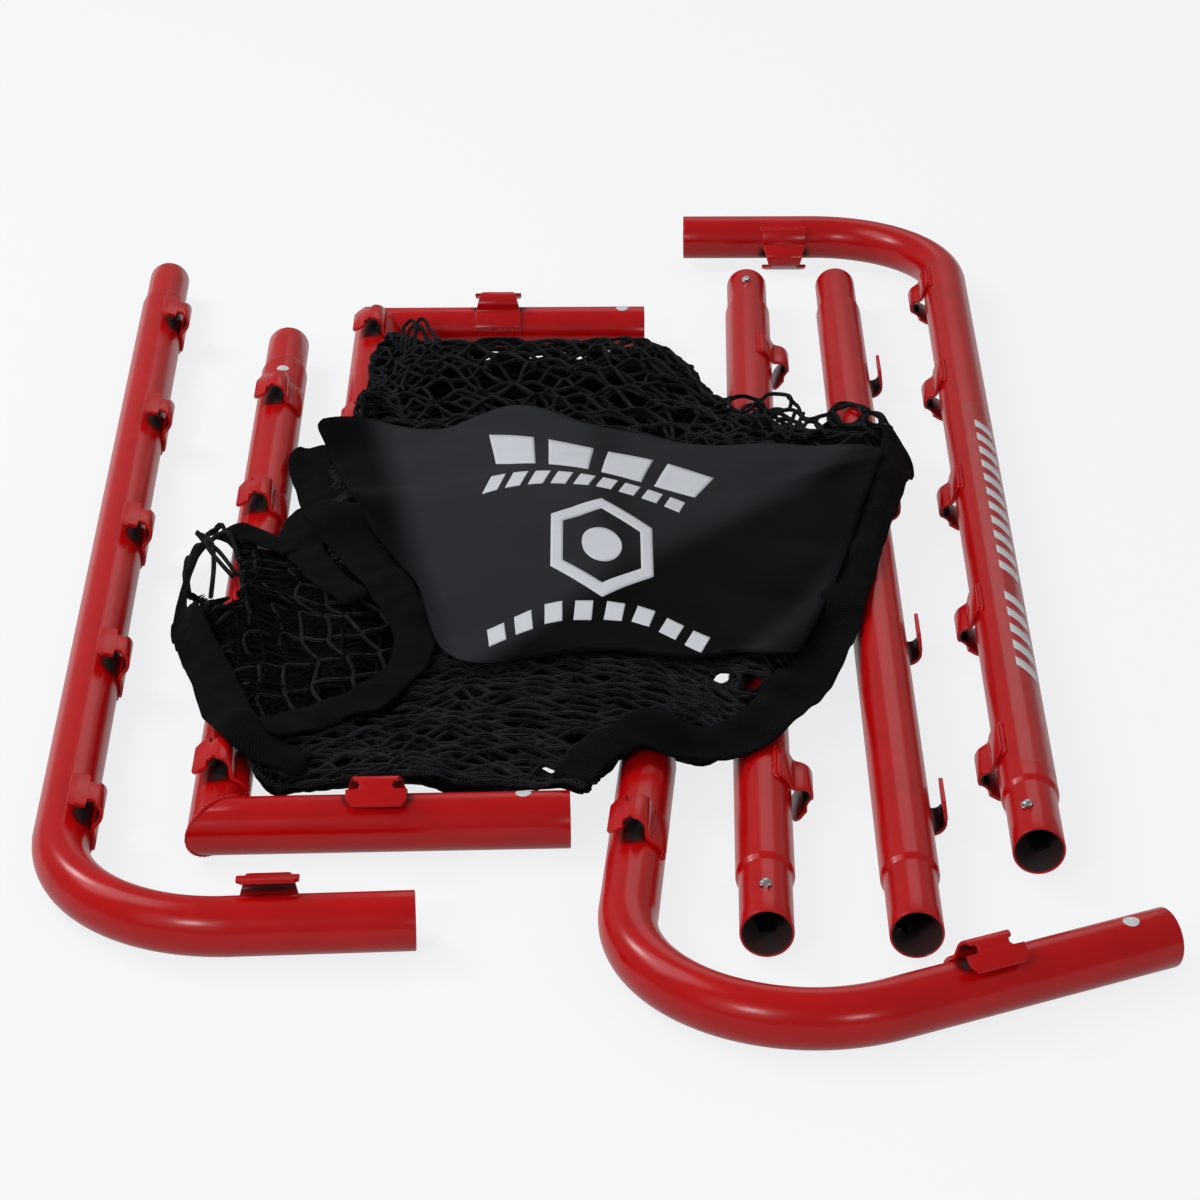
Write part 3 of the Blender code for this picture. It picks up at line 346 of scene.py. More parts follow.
def powder_coat():
    """Red powder coat: orange-peel relief, faint mottling, and painted shade and reflection under the clips'
    arches, dark and without gloss. An attribute says where that is, and the broad noise makes it ragged."""
    coat = Finish("red_powder_coat")
    peel = relief(coat, 420.0, 22.0, 0.25)
    shade_mask = coat.add("Attribute", attribute_name="thin_coat")["Fac"]
    ragged = coat.math("ADD", shade_mask, coat.math("MULTIPLY_ADD", peel["Broad"], 0.5, -0.25))
    shade_level = coat.math("MULTIPLY", ragged, coat.ramp(shade_mask, (0.0, 0.0), (0.25, 1.0)))
    tone = coat.ramp(shade_level, (0.18, POWDER_RED), (0.50, ARCH_SHADE_RED), (0.85, ARCH_SHADE_DARK))
    mottle = coat.ramp(peel["Broad"], (0.30, 0.90), (0.70, 1.06))
    return coat.surface(
        Base_Color=coat.tinted(1.0, tone, mottle),
        Roughness=coat.ramp(peel["Broad"], (0.25, 0.33), (0.75, 0.43)), Specular_IOR_Level=0.0,
        Coat_Weight=coat.add("MapRange", Value=shade_level, To_Min=POWDER_GLOSS, To_Max=0.0)["Result"],
        Coat_Roughness=0.22, Normal=coat.bump(peel["Height"], 0.22, 0.0006))


RED_COAT = powder_coat()


class TubeAxis:
    """Axis of a tube in the frame: its corner, the directions of its legs and its sections."""

    def __init__(self, name):
        (heading, hand, angle, self.legs, self.ends, self.join,
         self.clip_angle, self.over, self.button_angle, self.hole_angle) = TUBES[name]
        self.name = name
        self.first = heading_line(heading)
        self.second = heading_line(heading - hand * angle)
        self.post_inner = heading_line(heading - 90.0)
        self.half_angle = math.radians(angle) / 2.0
        self.setback = BEND_RADIUS / math.tan(self.half_angle) if self.join == "bend" else 0.0
        low, high = (np.array(corner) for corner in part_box(name))
        self.corner = np.array((0.0, 0.0, (low[2] + high[2]) / 2.0))
        rings = section_rings(*self.stations(np.array([0.0, PLUG_LENGTH + SHOULDER_LENGTH])), 24)
        drift = (low + high - rings.min(axis=(0, 1)) - rings.max(axis=(0, 1))) / 2.0
        self.corner[:2] += drift[:2]

    def leg(self, number):
        """Direction along a leg away from the corner, direction to the inner side, and length."""
        if self.join == "straight":
            return self.first, self.post_inner, self.legs[0]
        along, other = ((self.first, self.second), (self.second, self.first))[number]
        return along, unit(other - along * (other @ along)), self.legs[number]

    def end_radius(self, distance, kind):
        """Radius at a distance from an end: full at a socket; a plug swells to full by a smooth step."""
        if kind == "socket":
            return np.full(np.shape(distance), TUBE_RADIUS)
        swollen = smooth_step((distance - PLUG_LENGTH) / SHOULDER_LENGTH)
        return PLUG_RADIUS + (TUBE_RADIUS - PLUG_RADIUS) * swollen

    def stations(self, marks):
        """Centre, sideways direction, stretch and radius of each section from the first end to the second, at
        marks run from either end."""
        if self.join == "straight":
            length = self.legs[0]
            spots = np.unique(np.concatenate([marks, length - marks]))
            centre = self.corner + self.first * spots[:, None]
            side = np.tile(-self.post_inner, (len(spots), 1))
            radius = np.minimum(self.end_radius(spots, "plug"), self.end_radius(length - spots, "plug"))
            return centre, side, np.ones(len(spots)), radius
        parts = []
        for number in (0, 1):
            along, inner, length = self.leg(number)
            margin = self.setback if self.join == "bend" else TUBE_RADIUS / math.tan(self.half_angle) + 0.001
            spots = np.unique(np.minimum(marks, length - margin))
            spots = spots if number == 0 else spots[::-1]
            centre = self.corner + along * (length - spots)[:, None]
            side = np.tile(-inner, (len(spots), 1))
            parts.append((centre, side, np.ones(len(spots)), self.end_radius(spots, self.ends[number])))
        if self.join == "mitre":
            outward = -unit(self.first + self.second)
            stretch = np.array([1.0 / math.sin(self.half_angle)])
            middle = (self.corner[None], outward[None], stretch, np.array([TUBE_RADIUS]))
        else:
            sweep = math.pi - 2.0 * self.half_angle
            turned = np.linspace(0.0, sweep, BEND_STEPS + 1)[1:-1]
            inner = self.leg(0)[1]
            hub = self.corner + self.first * self.setback + inner * BEND_RADIUS
            side = -inner * np.cos(turned)[:, None] - self.first * np.sin(turned)[:, None]
            squeeze = BEND_FLATTENING * np.sin(math.pi * turned / sweep) ** 0.5
            middle = (hub + side * BEND_RADIUS, side, 1.0 - squeeze, np.full(len(turned), TUBE_RADIUS))
        return tuple(np.concatenate(items) for items in zip(parts[0], middle, parts[1]))


def section_rings(centre, side, stretch, radius, sides):
    """Rings of points: centre plus sideways times the cosine and upwards times the sine, over a full turn."""
    turn = full_turn(sides)[None, :, None]
    across = side[:, None] * (stretch * radius)[:, None, None] * np.cos(turn)
    return centre[:, None] + across + UP * radius[:, None, None] * np.sin(turn)


def rim_stations(centre, side, stretch, radius, outward, outer_first):
    """Rounded cut edge of the wall: sections on a half circle between the outer skin and the bore."""
    swing = np.linspace(0.0, math.pi, 7)[1:-1]
    swing = swing if outer_first else swing[::-1]
    lip = TUBE_WALL / 2.0
    spots = centre + outward * (lip * np.sin(swing))[:, None]
    count = len(swing)
    return spots, np.tile(side, (count, 1)), np.full(count, stretch), radius - lip + lip * np.cos(swing)


def tube_marks(axis, fine_spots):
    """Distances from an end at which the skin has a ring: close together at the ends, holes and clips."""
    marks = [np.linspace(PLUG_LENGTH - 0.002, PLUG_LENGTH + SHOULDER_LENGTH + 0.002, 13)]
    marks.append(np.arange(0.0, max(axis.legs), RING_PITCH))
    marks += [spot + np.arange(-reach, reach + step, step) for spot, reach, step in fine_spots]
    marks = np.concatenate(marks)
    return np.unique(np.round(np.clip(marks, TUBE_WALL / 2.0, max(axis.legs) - TUBE_WALL / 2.0), 5))


def drill_holes(tube, seats):
    """Take a round hole through one wall at each seat, a place on the axis with its outward direction."""
    build = bmesh.new()
    for place, radial in seats:
        turn = Vector(UP).rotation_difference(Vector(radial)).to_matrix().to_4x4()
        centre = Vector(place + radial * TUBE_RADIUS * 0.95)
        bmesh.ops.create_cone(build, cap_ends=True, segments=40, radius1=BUTTON_HOLE_RADIUS,
                              radius2=BUTTON_HOLE_RADIUS, depth=TUBE_RADIUS,
                              matrix=Matrix.Translation(centre) @ turn)
    mesh = bpy.data.meshes.new("drill")
    build.to_mesh(mesh)
    build.free()
    drill = bpy.data.objects.new("drill", mesh)
    bpy.context.scene.collection.objects.link(drill)
    cut = tube.modifiers.new("holes", "BOOLEAN")
    cut.object, cut.solver, cut.operation = drill, "EXACT", "DIFFERENCE"
    result = bpy.data.meshes.new_from_object(tube.evaluated_get(bpy.context.evaluated_depsgraph_get()))
    tube.modifiers.clear()
    tube.data = result
    bpy.data.objects.remove(drill)


class ClipSeat:
    """Where a net clip is welded on: its spot on the axis and the directions across, along and out."""

    def __init__(self, axis, node):
        number = 1 if "_short_clip" in node else 0
        along, inner, length = axis.leg(number)
        reach = (mesh_points(frame["nodes"][node].data) - axis.corner) @ along
        self.node = node
        self.distance = (reach.min() + reach.max()) / 2.0
        self.from_end = length - self.distance
        self.centre = axis.corner + along * self.distance
        seat = math.radians(axis.clip_angle)
        self.out = inner * math.cos(seat) + UP * math.sin(seat)
        self.across = (UP * math.cos(seat) - inner * math.sin(seat)) * (1.0 if axis.over else -1.0)
        self.along = np.cross(self.out, self.across)

    def world(self, across, along, out):
        """Points of the frame from places across, along and out from the tube's axis."""
        across, along, out = (np.asarray(item)[..., None] for item in (across, along, out))
        return self.centre + self.across * across + self.along * along + self.out * out

    def shade(self, points):
        """How much painted shade falls on the tube under this arch: full at the middle, fading all round."""
        offset = points - self.centre
        along = offset @ self.along
        turn = np.degrees(np.arctan2(offset @ self.across, offset @ self.out)) - CLIP_ARCH_TURN
        near = np.linalg.norm(offset - np.outer(along, self.along), axis=1) < TUBE_RADIUS + TUBE_WALL
        fade = smooth_step((CLIP_SHADE_REACH - np.abs(along)) / CLIP_SHADE_FADE)
        return np.exp(-(turn / CLIP_SHADE_TURN) ** 2) * fade * near


def hole_seats(axis):
    """Places and outward directions of the button holes of plugs and sockets."""
    seats = []
    for number in (0, 1):
        along, inner, length = axis.leg(number)
        end, inward = axis.corner + along * length, -along
        if axis.join == "straight" and number == 0:
            end, inward = axis.corner, along
        plug = axis.ends[number] == "plug"
        turn = math.radians(axis.button_angle if plug else axis.hole_angle)
        reach = BUTTON_FROM_END if plug else PLUG_LENGTH - BUTTON_FROM_END
        seats.append((end + inward * reach, inner * math.cos(turn) + UP * math.sin(turn)))
    return seats


def tube_bore():
    """Inside of the tubes: plain steel with a dusting of red overspray in patches."""
    bore = Finish("tube_bore")
    rough = relief(bore, 300.0, 40.0, 0.5)["Broad"]
    tone = bore.ramp(rough, (0.35, (0.050, 0.048, 0.050)), (0.62, (0.090, 0.040, 0.038)))
    return bore.surface(Base_Color=tone, Roughness=0.5)


BORE_STEEL = tube_bore()


def frame_tube(axis, clips):
    """One tube: the wall carried round as a closed loop of sections, drilled, with painted shade under clips.
    """
    holes = [(BUTTON_FROM_END, *HOLE_RINGS), (PLUG_LENGTH - BUTTON_FROM_END, *HOLE_RINGS)]
    outer = axis.stations(tube_marks(axis, holes + [(clip.from_end, *CLIP_RINGS) for clip in clips]))
    bore = axis.stations(tube_marks(axis, holes))
    rows = [
        rim_stations(*(part[0] for part in outer), unit(outer[0][0] - outer[0][1]), False),
        outer,
        rim_stations(*(part[-1] for part in outer), unit(outer[0][-1] - outer[0][-2]), True),
        [bore[0][::-1], bore[1][::-1], bore[2][::-1], bore[3][::-1] - TUBE_WALL],
    ]
    rings = section_rings(*(np.concatenate(items) for items in zip(*rows)), TUBE_SIDES)
    faces = grid_faces(len(rings), TUBE_SIDES, True, True)
    tube = new_piece(axis.name + "_tube", rings, faces, RED_COAT, BODY_OF[axis.name], "powder_coat")
    tube.data.materials.append(BORE_STEEL)
    inner = np.zeros(len(rings), int)
    inner[len(rings) - len(bore[0]) + 1:-1] = 1
    tube.data.polygons.foreach_set("material_index", np.repeat(inner, TUBE_SIDES))
    drill_holes(tube, hole_seats(axis))
    tube.data.set_sharp_from_angle(angle=math.radians(40.0))
    points = mesh_points(tube.data)
    # Painted shade on the tube under each clip's arch
    paint_attribute(tube, "thin_coat", np.max([clip.shade(points) for clip in clips], axis=0))
    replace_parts(tube, axis.name)


AXES = {name: TubeAxis(name) for name in TUBES}
CLIP_NODES = [node for node in sorted(frame["nodes"]) if "_clip" in node]
CLIPS = {name: [ClipSeat(axis, node) for node in CLIP_NODES if node.startswith(name)]
         for name, axis in AXES.items()}
for name, axis in AXES.items():
    frame_tube(axis, CLIPS[name])


# Net clips: straps stamped from 3.8 mm sheet, notched at the neck, bent over a jig and welded to the
# tube by the foot. The inside of the arch carries painted shade.
CLIP_SHEET = 0.0038
CLIP_FOOT_WIDTH = 0.052
CLIP_CREST_WIDTH = 0.037
CLIP_PLATE_WIDTH = 0.052
CLIP_NOTCH_RADIUS = 0.0045
CLIP_TAPER_FROM = 0.26
CLIP_CORNER = 0.006
CLIP_FOOT_ROUND = 0.003
CLIP_EDGE_ROUND = 0.0011
CLIP_FOOT_START = -26.0
# Painted shade inside a strap's arch: its start and end as shares along the strap, its fading at each, and
# its reach along the tube
CLIP_STRAP_SHADE = (0.28, 0.97)
CLIP_STRAP_SHADE_FADE = (0.12, 0.15)
CLIP_STRAP_SHADE_REACH = 0.027
CLIP_SIDES = 24
CLIP_SEAT = TUBE_RADIUS + 0.0003 + CLIP_SHEET / 2.0
CLIP_RUNS = np.array([CLIP_SEAT * math.radians(38.0), 0.006 * math.radians(57.0), 0.0045,
                      0.010 * math.radians(120.0), 0.021])
CLIP_TURNS = np.radians([-38.0, 57.0, 0.0, -120.0, 0.0])


def tube_faces(rows, sides, closed):
    """Quads of a run of rings, and a face over each end unless the run closes on itself."""
    faces = grid_faces(rows, sides, closed, True).tolist()
    return faces if closed else faces + [list(range(sides)), list(range(rows * sides - sides, rows * sides))]


def strap_line(distances):
    """Middle line of the strap: its heading turns evenly along each run, and its points are the sum of it."""
    fine = np.linspace(0.0, CLIP_RUNS.sum(), 1600)
    knots = np.concatenate([[0.0], np.cumsum(CLIP_RUNS)])
    turned = np.concatenate([[0.0], np.cumsum(CLIP_TURNS)]) - math.radians(CLIP_FOOT_START)
    heading = np.interp(fine, knots, turned)
    step = np.diff(fine, prepend=0.0)
    start = math.radians(CLIP_FOOT_START)
    across = CLIP_SEAT * math.sin(start) + np.cumsum(np.cos(heading) * step)
    out = CLIP_SEAT * math.cos(start) + np.cumsum(np.sin(heading) * step)
    return tuple(np.interp(distances, fine, item) for item in (across, out, heading))


def strap_half_width(distances):
    """Half the strap's width: wide foot, tapered crest, a round bite each side, a plate with cut corners."""
    total = CLIP_RUNS.sum()
    notch = total - CLIP_RUNS[-1] + CLIP_NOTCH_RADIUS * 0.1
    tapered = [total * CLIP_TAPER_FROM, notch - CLIP_NOTCH_RADIUS], [CLIP_FOOT_WIDTH, CLIP_CREST_WIDTH]
    crest = np.interp(distances, *tapered) / 2.0
    bite = np.clip(1.0 - ((distances - notch) / CLIP_NOTCH_RADIUS) ** 2, 0.0, 1.0)
    corner = np.clip(1.0 - (total - distances) / CLIP_CORNER, 0.0, 1.0) * CLIP_CORNER * 0.8
    foot = np.clip(1.0 - distances / CLIP_FOOT_ROUND, 0.0, 1.0) ** 2 * CLIP_FOOT_ROUND
    strap = crest - np.sqrt(bite) * CLIP_NOTCH_RADIUS - foot
    return np.where(distances > notch + CLIP_NOTCH_RADIUS, CLIP_PLATE_WIDTH / 2.0 - corner, strap)


def net_clip(clip):
    """One strap: a rounded rectangle carried along the middle line, drawn in a little at both ends. The
    inside of its arch is marked for painted shade."""
    total = CLIP_RUNS.sum()
    notch_far = total - CLIP_RUNS[-1] + CLIP_NOTCH_RADIUS * 1.1
    lip = CLIP_EDGE_ROUND * (1.0 - np.cos(np.linspace(0.0, math.pi / 2.0, 5)))
    spots = [lip, total - lip, np.linspace(0.001, total - 0.001, 64), notch_far + np.array((0.0001, 0.0006))]
    spots.append(notch_far - CLIP_NOTCH_RADIUS * (1.0 - np.cos(np.linspace(0.0, math.pi, 15))))
    spots = np.unique(np.round(np.concatenate(spots), 6))
    across, out, heading = strap_line(spots)
    short_of = np.clip(CLIP_EDGE_ROUND - np.minimum(spots, total - spots), 0.0, 1.0)
    inset = CLIP_EDGE_ROUND - np.sqrt(np.clip(CLIP_EDGE_ROUND ** 2 - short_of ** 2, 0.0, 1.0))
    turn = full_turn(CLIP_SIDES) + math.pi / CLIP_SIDES
    corner = CLIP_EDGE_ROUND - inset[:, None] * 0.9
    half_width = (strap_half_width(spots) - inset)[:, None] - corner
    half_sheet = CLIP_SHEET / 2.0 - inset[:, None] - corner
    along = np.sign(np.cos(turn)) * half_width + corner * np.cos(turn)
    thick = np.sign(np.sin(turn)) * half_sheet + corner * np.sin(turn)
    points = clip.world(across[:, None] - np.sin(heading)[:, None] * thick, along,
                        out[:, None] + np.cos(heading)[:, None] * thick)
    faces = tube_faces(len(spots), CLIP_SIDES, False)
    strap = new_piece(clip.node + "_strap", points, faces, RED_COAT, BODY_OF[clip.node], "powder_coat")
    strap.data.set_sharp_from_angle(angle=math.radians(50.0))
    offset = mesh_points(strap.data) - clip.centre
    spot = np.stack([offset @ clip.across, offset @ clip.out], axis=1)
    middle = np.stack(strap_line(np.linspace(0.0, total, 200)), axis=1)
    nearest = np.linalg.norm(spot[:, None] - middle[None, :, :2], axis=2).argmin(axis=1)
    facing, gap = middle[nearest, 2], spot - middle[nearest, :2]
    depth = gap[:, 0] * np.sin(facing) - gap[:, 1] * np.cos(facing)
    share = nearest / (len(middle) - 1.0)
    window = np.clip((share - CLIP_STRAP_SHADE[0]) / CLIP_STRAP_SHADE_FADE[0], 0.0, 1.0)
    window = window * np.clip((CLIP_STRAP_SHADE[1] - share) / CLIP_STRAP_SHADE_FADE[1], 0.0, 1.0)
    window = window * (1.0 - np.clip(np.abs(offset @ clip.along) / CLIP_STRAP_SHADE_REACH, 0.0, 1.0) ** 4)
    # Painted shade on the inner face of the arch
    paint_attribute(strap, "thin_coat", np.clip(depth / (CLIP_SHEET / 2.0), 0.0, 1.0) * window)
    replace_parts(strap, clip.node)


for clips in CLIPS.values():
    for clip in clips:
        net_clip(clip)


# Welds: a run of short overlapping beads along the end and the corners of each clip's foot, and round
# the mitre of each crossbar corner, all under the powder coat.
CLIP_BEAD = 0.0019
MITRE_BEAD = 0.0022
BEAD_PITCH = 0.0042
BEAD_RIPPLE = 0.16
BEAD_SCATTER = 0.10
BEAD_STEP = 0.0009
BEAD_SIDES = 12
BEAD_WIDE = 1.25
BEAD_HIGH = 0.85
BEAD_DRESSED = 0.62
BEAD_LIMITS = (0.7, 1.35)
BEAD_LIFT = 0.0006
BEAD_FLOOR = 0.0002
# Degrees round the tube: how far the bead climbs the foot's sides, and how far it lies before the foot's end
CORNER_TURN = 10.0
FOOT_GAP = 1.5
WELD_SEED = 11


def run_along(path):
    """Distance run along a path of points, from nought at the first."""
    return np.concatenate([[0.0], np.cumsum(np.linalg.norm(np.diff(path, axis=0), axis=1))])


def joined(parts):
    """Points and faces of several parts, counted as one."""
    faces, start = [], 0
    for points, part in parts:
        faces += [[corner + start for corner in face] for face in part]
        start += len(points)
    return np.concatenate([points for points, _ in parts]), faces


def bead_run(path, out, radius, closed, draw):
    """Lumpy bead: a half-sunk round cord along a path, its radius swelling with each ripple and at random. It
    is dressed flat on the floor, and a closed bead also at the outer corner, where it starts."""
    run = run_along(path)
    marks = np.linspace(0.0, run[-1], max(int(run[-1] / BEAD_STEP), 8) + 1)
    marks = marks[:-1] if closed else marks
    centre = np.stack([np.interp(marks, run, path[:, item]) for item in range(3)], axis=1)
    outward = unit(np.stack([np.interp(marks, run, out[:, item]) for item in range(3)], axis=1))
    ahead = np.gradient(centre, axis=0)
    if closed:
        ahead = np.roll(centre, -1, axis=0) - np.roll(centre, 1, axis=0)
    ahead = unit(ahead)
    beside = unit(np.cross(ahead, outward))
    outward = np.cross(beside, ahead)
    swell = 1.0 + BEAD_RIPPLE * np.sin(2.0 * math.pi * marks / BEAD_PITCH)
    swell = swell + BEAD_SCATTER * draw.standard_normal(len(marks))
    if closed:
        taper = 1.0 - BEAD_DRESSED * np.sqrt(np.clip(outward @ unit(out[0]), 0.0, 1.0))
    else:
        taper = np.sqrt(np.clip(np.minimum(marks, marks[-1] - marks) / (1.5 * radius), 0.02, 1.0))
    swell = (np.clip(swell, *BEAD_LIMITS) * taper * radius)[:, None, None]
    turn = full_turn(BEAD_SIDES)[None, :, None]
    section = beside[:, None] * np.cos(turn) * BEAD_WIDE + outward[:, None] * np.sin(turn) * BEAD_HIGH
    rings = centre[:, None] + swell * section
    rings[..., 2] = np.maximum(rings[..., 2], BEAD_FLOOR)
    return rings.reshape(-1, 3), tube_faces(len(marks), BEAD_SIDES, closed)


def weld_beads(name, runs):
    """The beads of one tube as one piece."""
    draw = np.random.default_rng(WELD_SEED + len(name))
    beads = joined([bead_run(*run, draw) for run in runs])
    piece = new_piece(name + "_welds", *beads, RED_COAT, BODY_OF[name], "powder_coat")
    piece.data.set_sharp_from_angle(angle=math.radians(60.0))


def clip_weld(clip):
    """Path of the bead round the end of a clip's foot: up one side a little, across, and down the other."""
    half = CLIP_FOOT_WIDTH / 2.0
    up = np.linspace(CORNER_TURN, 1.0, 6)
    along = np.concatenate([np.full(len(up), -half), np.linspace(-half, half, 40), np.full(len(up), half)])
    turn = np.radians(CLIP_FOOT_START - FOOT_GAP + np.concatenate([up, np.zeros(40), up[::-1]]))
    height = TUBE_RADIUS + BEAD_LIFT
    path = clip.world(height * np.sin(turn), along, height * np.cos(turn))
    return path, unit(path - clip.world(0.0 * turn, along, 0.0 * turn)), CLIP_BEAD, False


def mitre_weld(axis):
    """Path of the bead round a mitre: the ellipse in which the two legs meet."""
    turn = np.linspace(0.0, 2.0 * math.pi, 181)[:, None]
    outward = -unit(axis.first + axis.second)
    out = outward * np.cos(turn) / math.sin(axis.half_angle) + UP * np.sin(turn)
    return axis.corner + out * TUBE_RADIUS, out, MITRE_BEAD, True


for name, axis in AXES.items():
    mitre = [mitre_weld(axis)] if axis.join == "mitre" else []
    weld_beads(name, [clip_weld(clip) for clip in CLIPS[name]] + mitre)


# Snap buttons: turned and chromed pins with a domed head, carried by dark spring-steel leaves folded to
# a V inside the plugs. They keep the shapes of the frame.
CHROME_TONE = (0.52, 0.53, 0.55, 1.0)
LEAF_TONE = (0.030, 0.036, 0.034, 1.0)


def plated_metal(name, tone, metallic, rough, fine, depth):
    """Metal with turned or rolled marks: tone, roughness and a slight relief vary with the noise."""
    metal = Finish(name)
    marks = relief(metal, fine, fine / 8.0, 0.4)
    worn = [0.82 * part for part in tone[:3]]
    return metal.surface(
        Metallic=metallic, Base_Color=metal.ramp(marks["Broad"], (0.3, worn), (0.7, tone)),
        Roughness=metal.ramp(marks["Height"], (0.3, rough[0]), (0.7, rough[1])),
        Normal=metal.bump(marks["Height"], 0.3, depth))


CHROME = plated_metal("chromed_pin", CHROME_TONE, 1.0, (0.06, 0.16), 1500.0, 0.00003)
LEAF_STEEL = plated_metal("leaf_spring_steel", LEAF_TONE, 0.85, (0.30, 0.50), 500.0, 0.0002)
for node, part in frame["nodes"].items():
    if node.endswith("_button") or node.endswith("_spring"):
        part.data.materials.clear()
        part.data.materials.append(CHROME if node.endswith("_button") else LEAF_STEEL)


# Netting: black braided nylon cord in a knotless diamond mesh, 38 mm a side. It lies in a heap of flat
# gathered layers over the crossing tubes, turned under at its edge, with packed folds at the bottom. The
# lower layers and the packed folds are painted darker, as shade.
# What plan() is given is in millimetres.
NET_MOVE = np.array((-0.00125977, -0.0676302))
HEAP_LOW = np.array((-0.470, -0.620))
HEAP_STEP = 0.005
HEAP_CELLS = (176, 248)
SPREAD_ROUNDS = 40


def plan(*places, parts=1000):
    """Places on the heap's plan, given in parts of a metre, moved onto the frame; a third number stays."""
    places = np.array(places) / parts
    places[:, :2] += NET_MOVE
    return places


NETTING_OUTLINE = plan(
    (-219, 500), (-205, 550), (-185, 590), (-155, 580), (-120, 562), (-85, 556), (-12, 560), (70, 575),
    (115, 576), (138, 540), (147, 480), (160, 410), (182, 362), (206, 354), (237, 345), (264, 325),
    (295, 332), (320, 325), (334, 280), (333, 225), (312, 92), (292, 1), (275, -87), (240, -195),
    (203, -314), (160, -380), (116, -394), (64, -402), (34, -425), (15, -462), (-30, -442), (-100, -442),
    (-176, -442), (-230, -438), (-272, -421), (-299, -366), (-324, -262), (-348, -152), (-357, -57),
    (-360, 20), (-345, 46), (-312, 26), (-285, 0), (-272, 40), (-266, 105), (-254, 190), (-240, 255),
    (-224, 333), (-219, 440),
)
# Openings through the heap: outline on the floor, and how far it leans for each metre of height
OPENINGS = (
    (plan((-379, 97), (-371, 140), (-357, 178), (-346, 143), (-339, 131), (-328, 71), (-321, 9),
          (-342, 7), (-371, 27)), (-0.242, 2.070)),
    (plan((170, 497), (185, 508), (198, 505), (205, 488), (197, 468), (178, 465)), (0.100, 2.327)),
    (plan((213, 502), (226, 516), (239, 507), (244, 481), (238, 456), (221, 459)), (0.126, 2.326)),
    (plan((218, 446), (235, 443), (237, 427), (223, 422)), (0.126, 2.294)),
    (plan((255, 435), (267, 440), (271, 426), (259, 418)), (0.149, 2.291)),
    (plan((286, 467), (299, 487), (314, 486), (321, 461), (308, 434), (292, 434)), (0.174, 2.311)),
    (plan((322, 456), (334, 462), (336, 442), (324, 433)), (0.191, 2.303)),
    (plan((-221, 588), (-218, 630), (-207, 636), (-202, 617), (-210, 580), (-217, 562)), (-0.154, 2.401)),
    (plan((122, -232), (127, -225), (138, -224), (134, -234), (125, -236)), (0.063, 1.871)),
    (plan((133, -162), (144, -143), (152, -146), (148, -168), (137, -172)), (0.072, 1.916)),
    (plan((102, -310), (107, -305), (114, -307), (111, -315), (103, -316)), (0.049, 1.819)),
    (plan((-30, -354), (-25, -333), (-5, -308), (-10, -338), (-22, -359)), (-0.031, 1.801)),
    (plan((161, -178), (172, -143), (184, -146), (177, -180), (165, -188)), (0.090, 1.911)),
    (plan((160, -233), (170, -205), (190, -173), (181, -212), (166, -245)), (0.091, 1.881)),
)
# The heap swells up under the upper edge of the panel
SWELL_PLACE = (-0.060, 0.262)
SWELL_REACH = 0.075
SWELL_HEIGHT = 0.011
CORD_RADIUS = 0.0021
CORD_SIDES = 6
CORD_SAMPLES = 6
STRAND_WAVE = 2.0 * math.pi / 0.0034
STRAND_TURNS = 6.0 * math.pi
MESH_SIDE = 0.038
MESH_SLACK = 0.80
ROW_MESHES = 34.0
JOINT_DWELL = 1.28
JOINT_LIFT = 0.0017
# The folds run slanted across the heap and bow; the sweep across them is where rows are counted
FOLD_SWEEP = (-0.66, 0.76)
FOLD_PITCH = 0.062
FOLD_SLANT = 0.28
FOLD_BOW = 0.9
FOLD_SQUEEZE = 0.96
OPENS_FROM = 0.14
OPENS_OVER = 0.22
TURN_UNDER = 0.050
RIM_ROUND = 0.004
UNDER_ROUND = 0.016
UNDER_LEVEL = 0.06
OPENING_SCATTER = 0.003
LONGEST_STEP = 0.011
# Drifts: number of waves, shortest and longest wave, reach of each
LAYER_DRIFT = (4, 0.16, 0.38, 0.011)
LAYER_RIPPLE = (3, 0.06, 0.11, 0.003)
LAYER_RISE = (3, 0.05, 0.12, 0.0016)
# The flap at the left end, inside its sleeve: the netting there lies nearly flat and wide open
LEFT_FLAP = plan(
    (-345, 30), (-300, 10), (-262, 35), (-215, -45), (-165, -135), (-142, -225), (-150, -300),
    (-180, -345), (-225, -362), (-262, -372), (-300, -318), (-330, -200), (-350, -79), (-356, 0),
)


def smooth_curve(knots, step, closed):
    """Even points on a curve through the knots: a cubic that leaves each along its neighbours' chord."""
    knots = np.asarray(knots, float)
    count = len(knots)
    index = np.arange(count if closed else count - 1)
    wrap = (lambda item: item % count) if closed else (lambda item: np.clip(item, 0, count - 1))
    before, start, end, after = (knots[wrap(index + shift)][:, None] for shift in (-1, 0, 1, 2))
    t = np.linspace(0.0, 1.0, 20, endpoint=False)[None, :, None]
    dense = 0.5 * (2.0 * start + (end - before) * t + (2.0 * before - 5.0 * start + 4.0 * end - after) * t * t
                   + (3.0 * start - before - 3.0 * end + after) * t ** 3)
    dense = np.concatenate([dense.reshape(-1, knots.shape[1]), knots[:1] if closed else knots[-1:]])
    run = run_along(dense)
    marks = np.linspace(0.0, run[-1], max(int(round(run[-1] / step)), 3) + 1)
    marks = marks[:-1] if closed else marks
    return np.stack([np.interp(marks, run, dense[:, axis]) for axis in range(knots.shape[1])], axis=1)


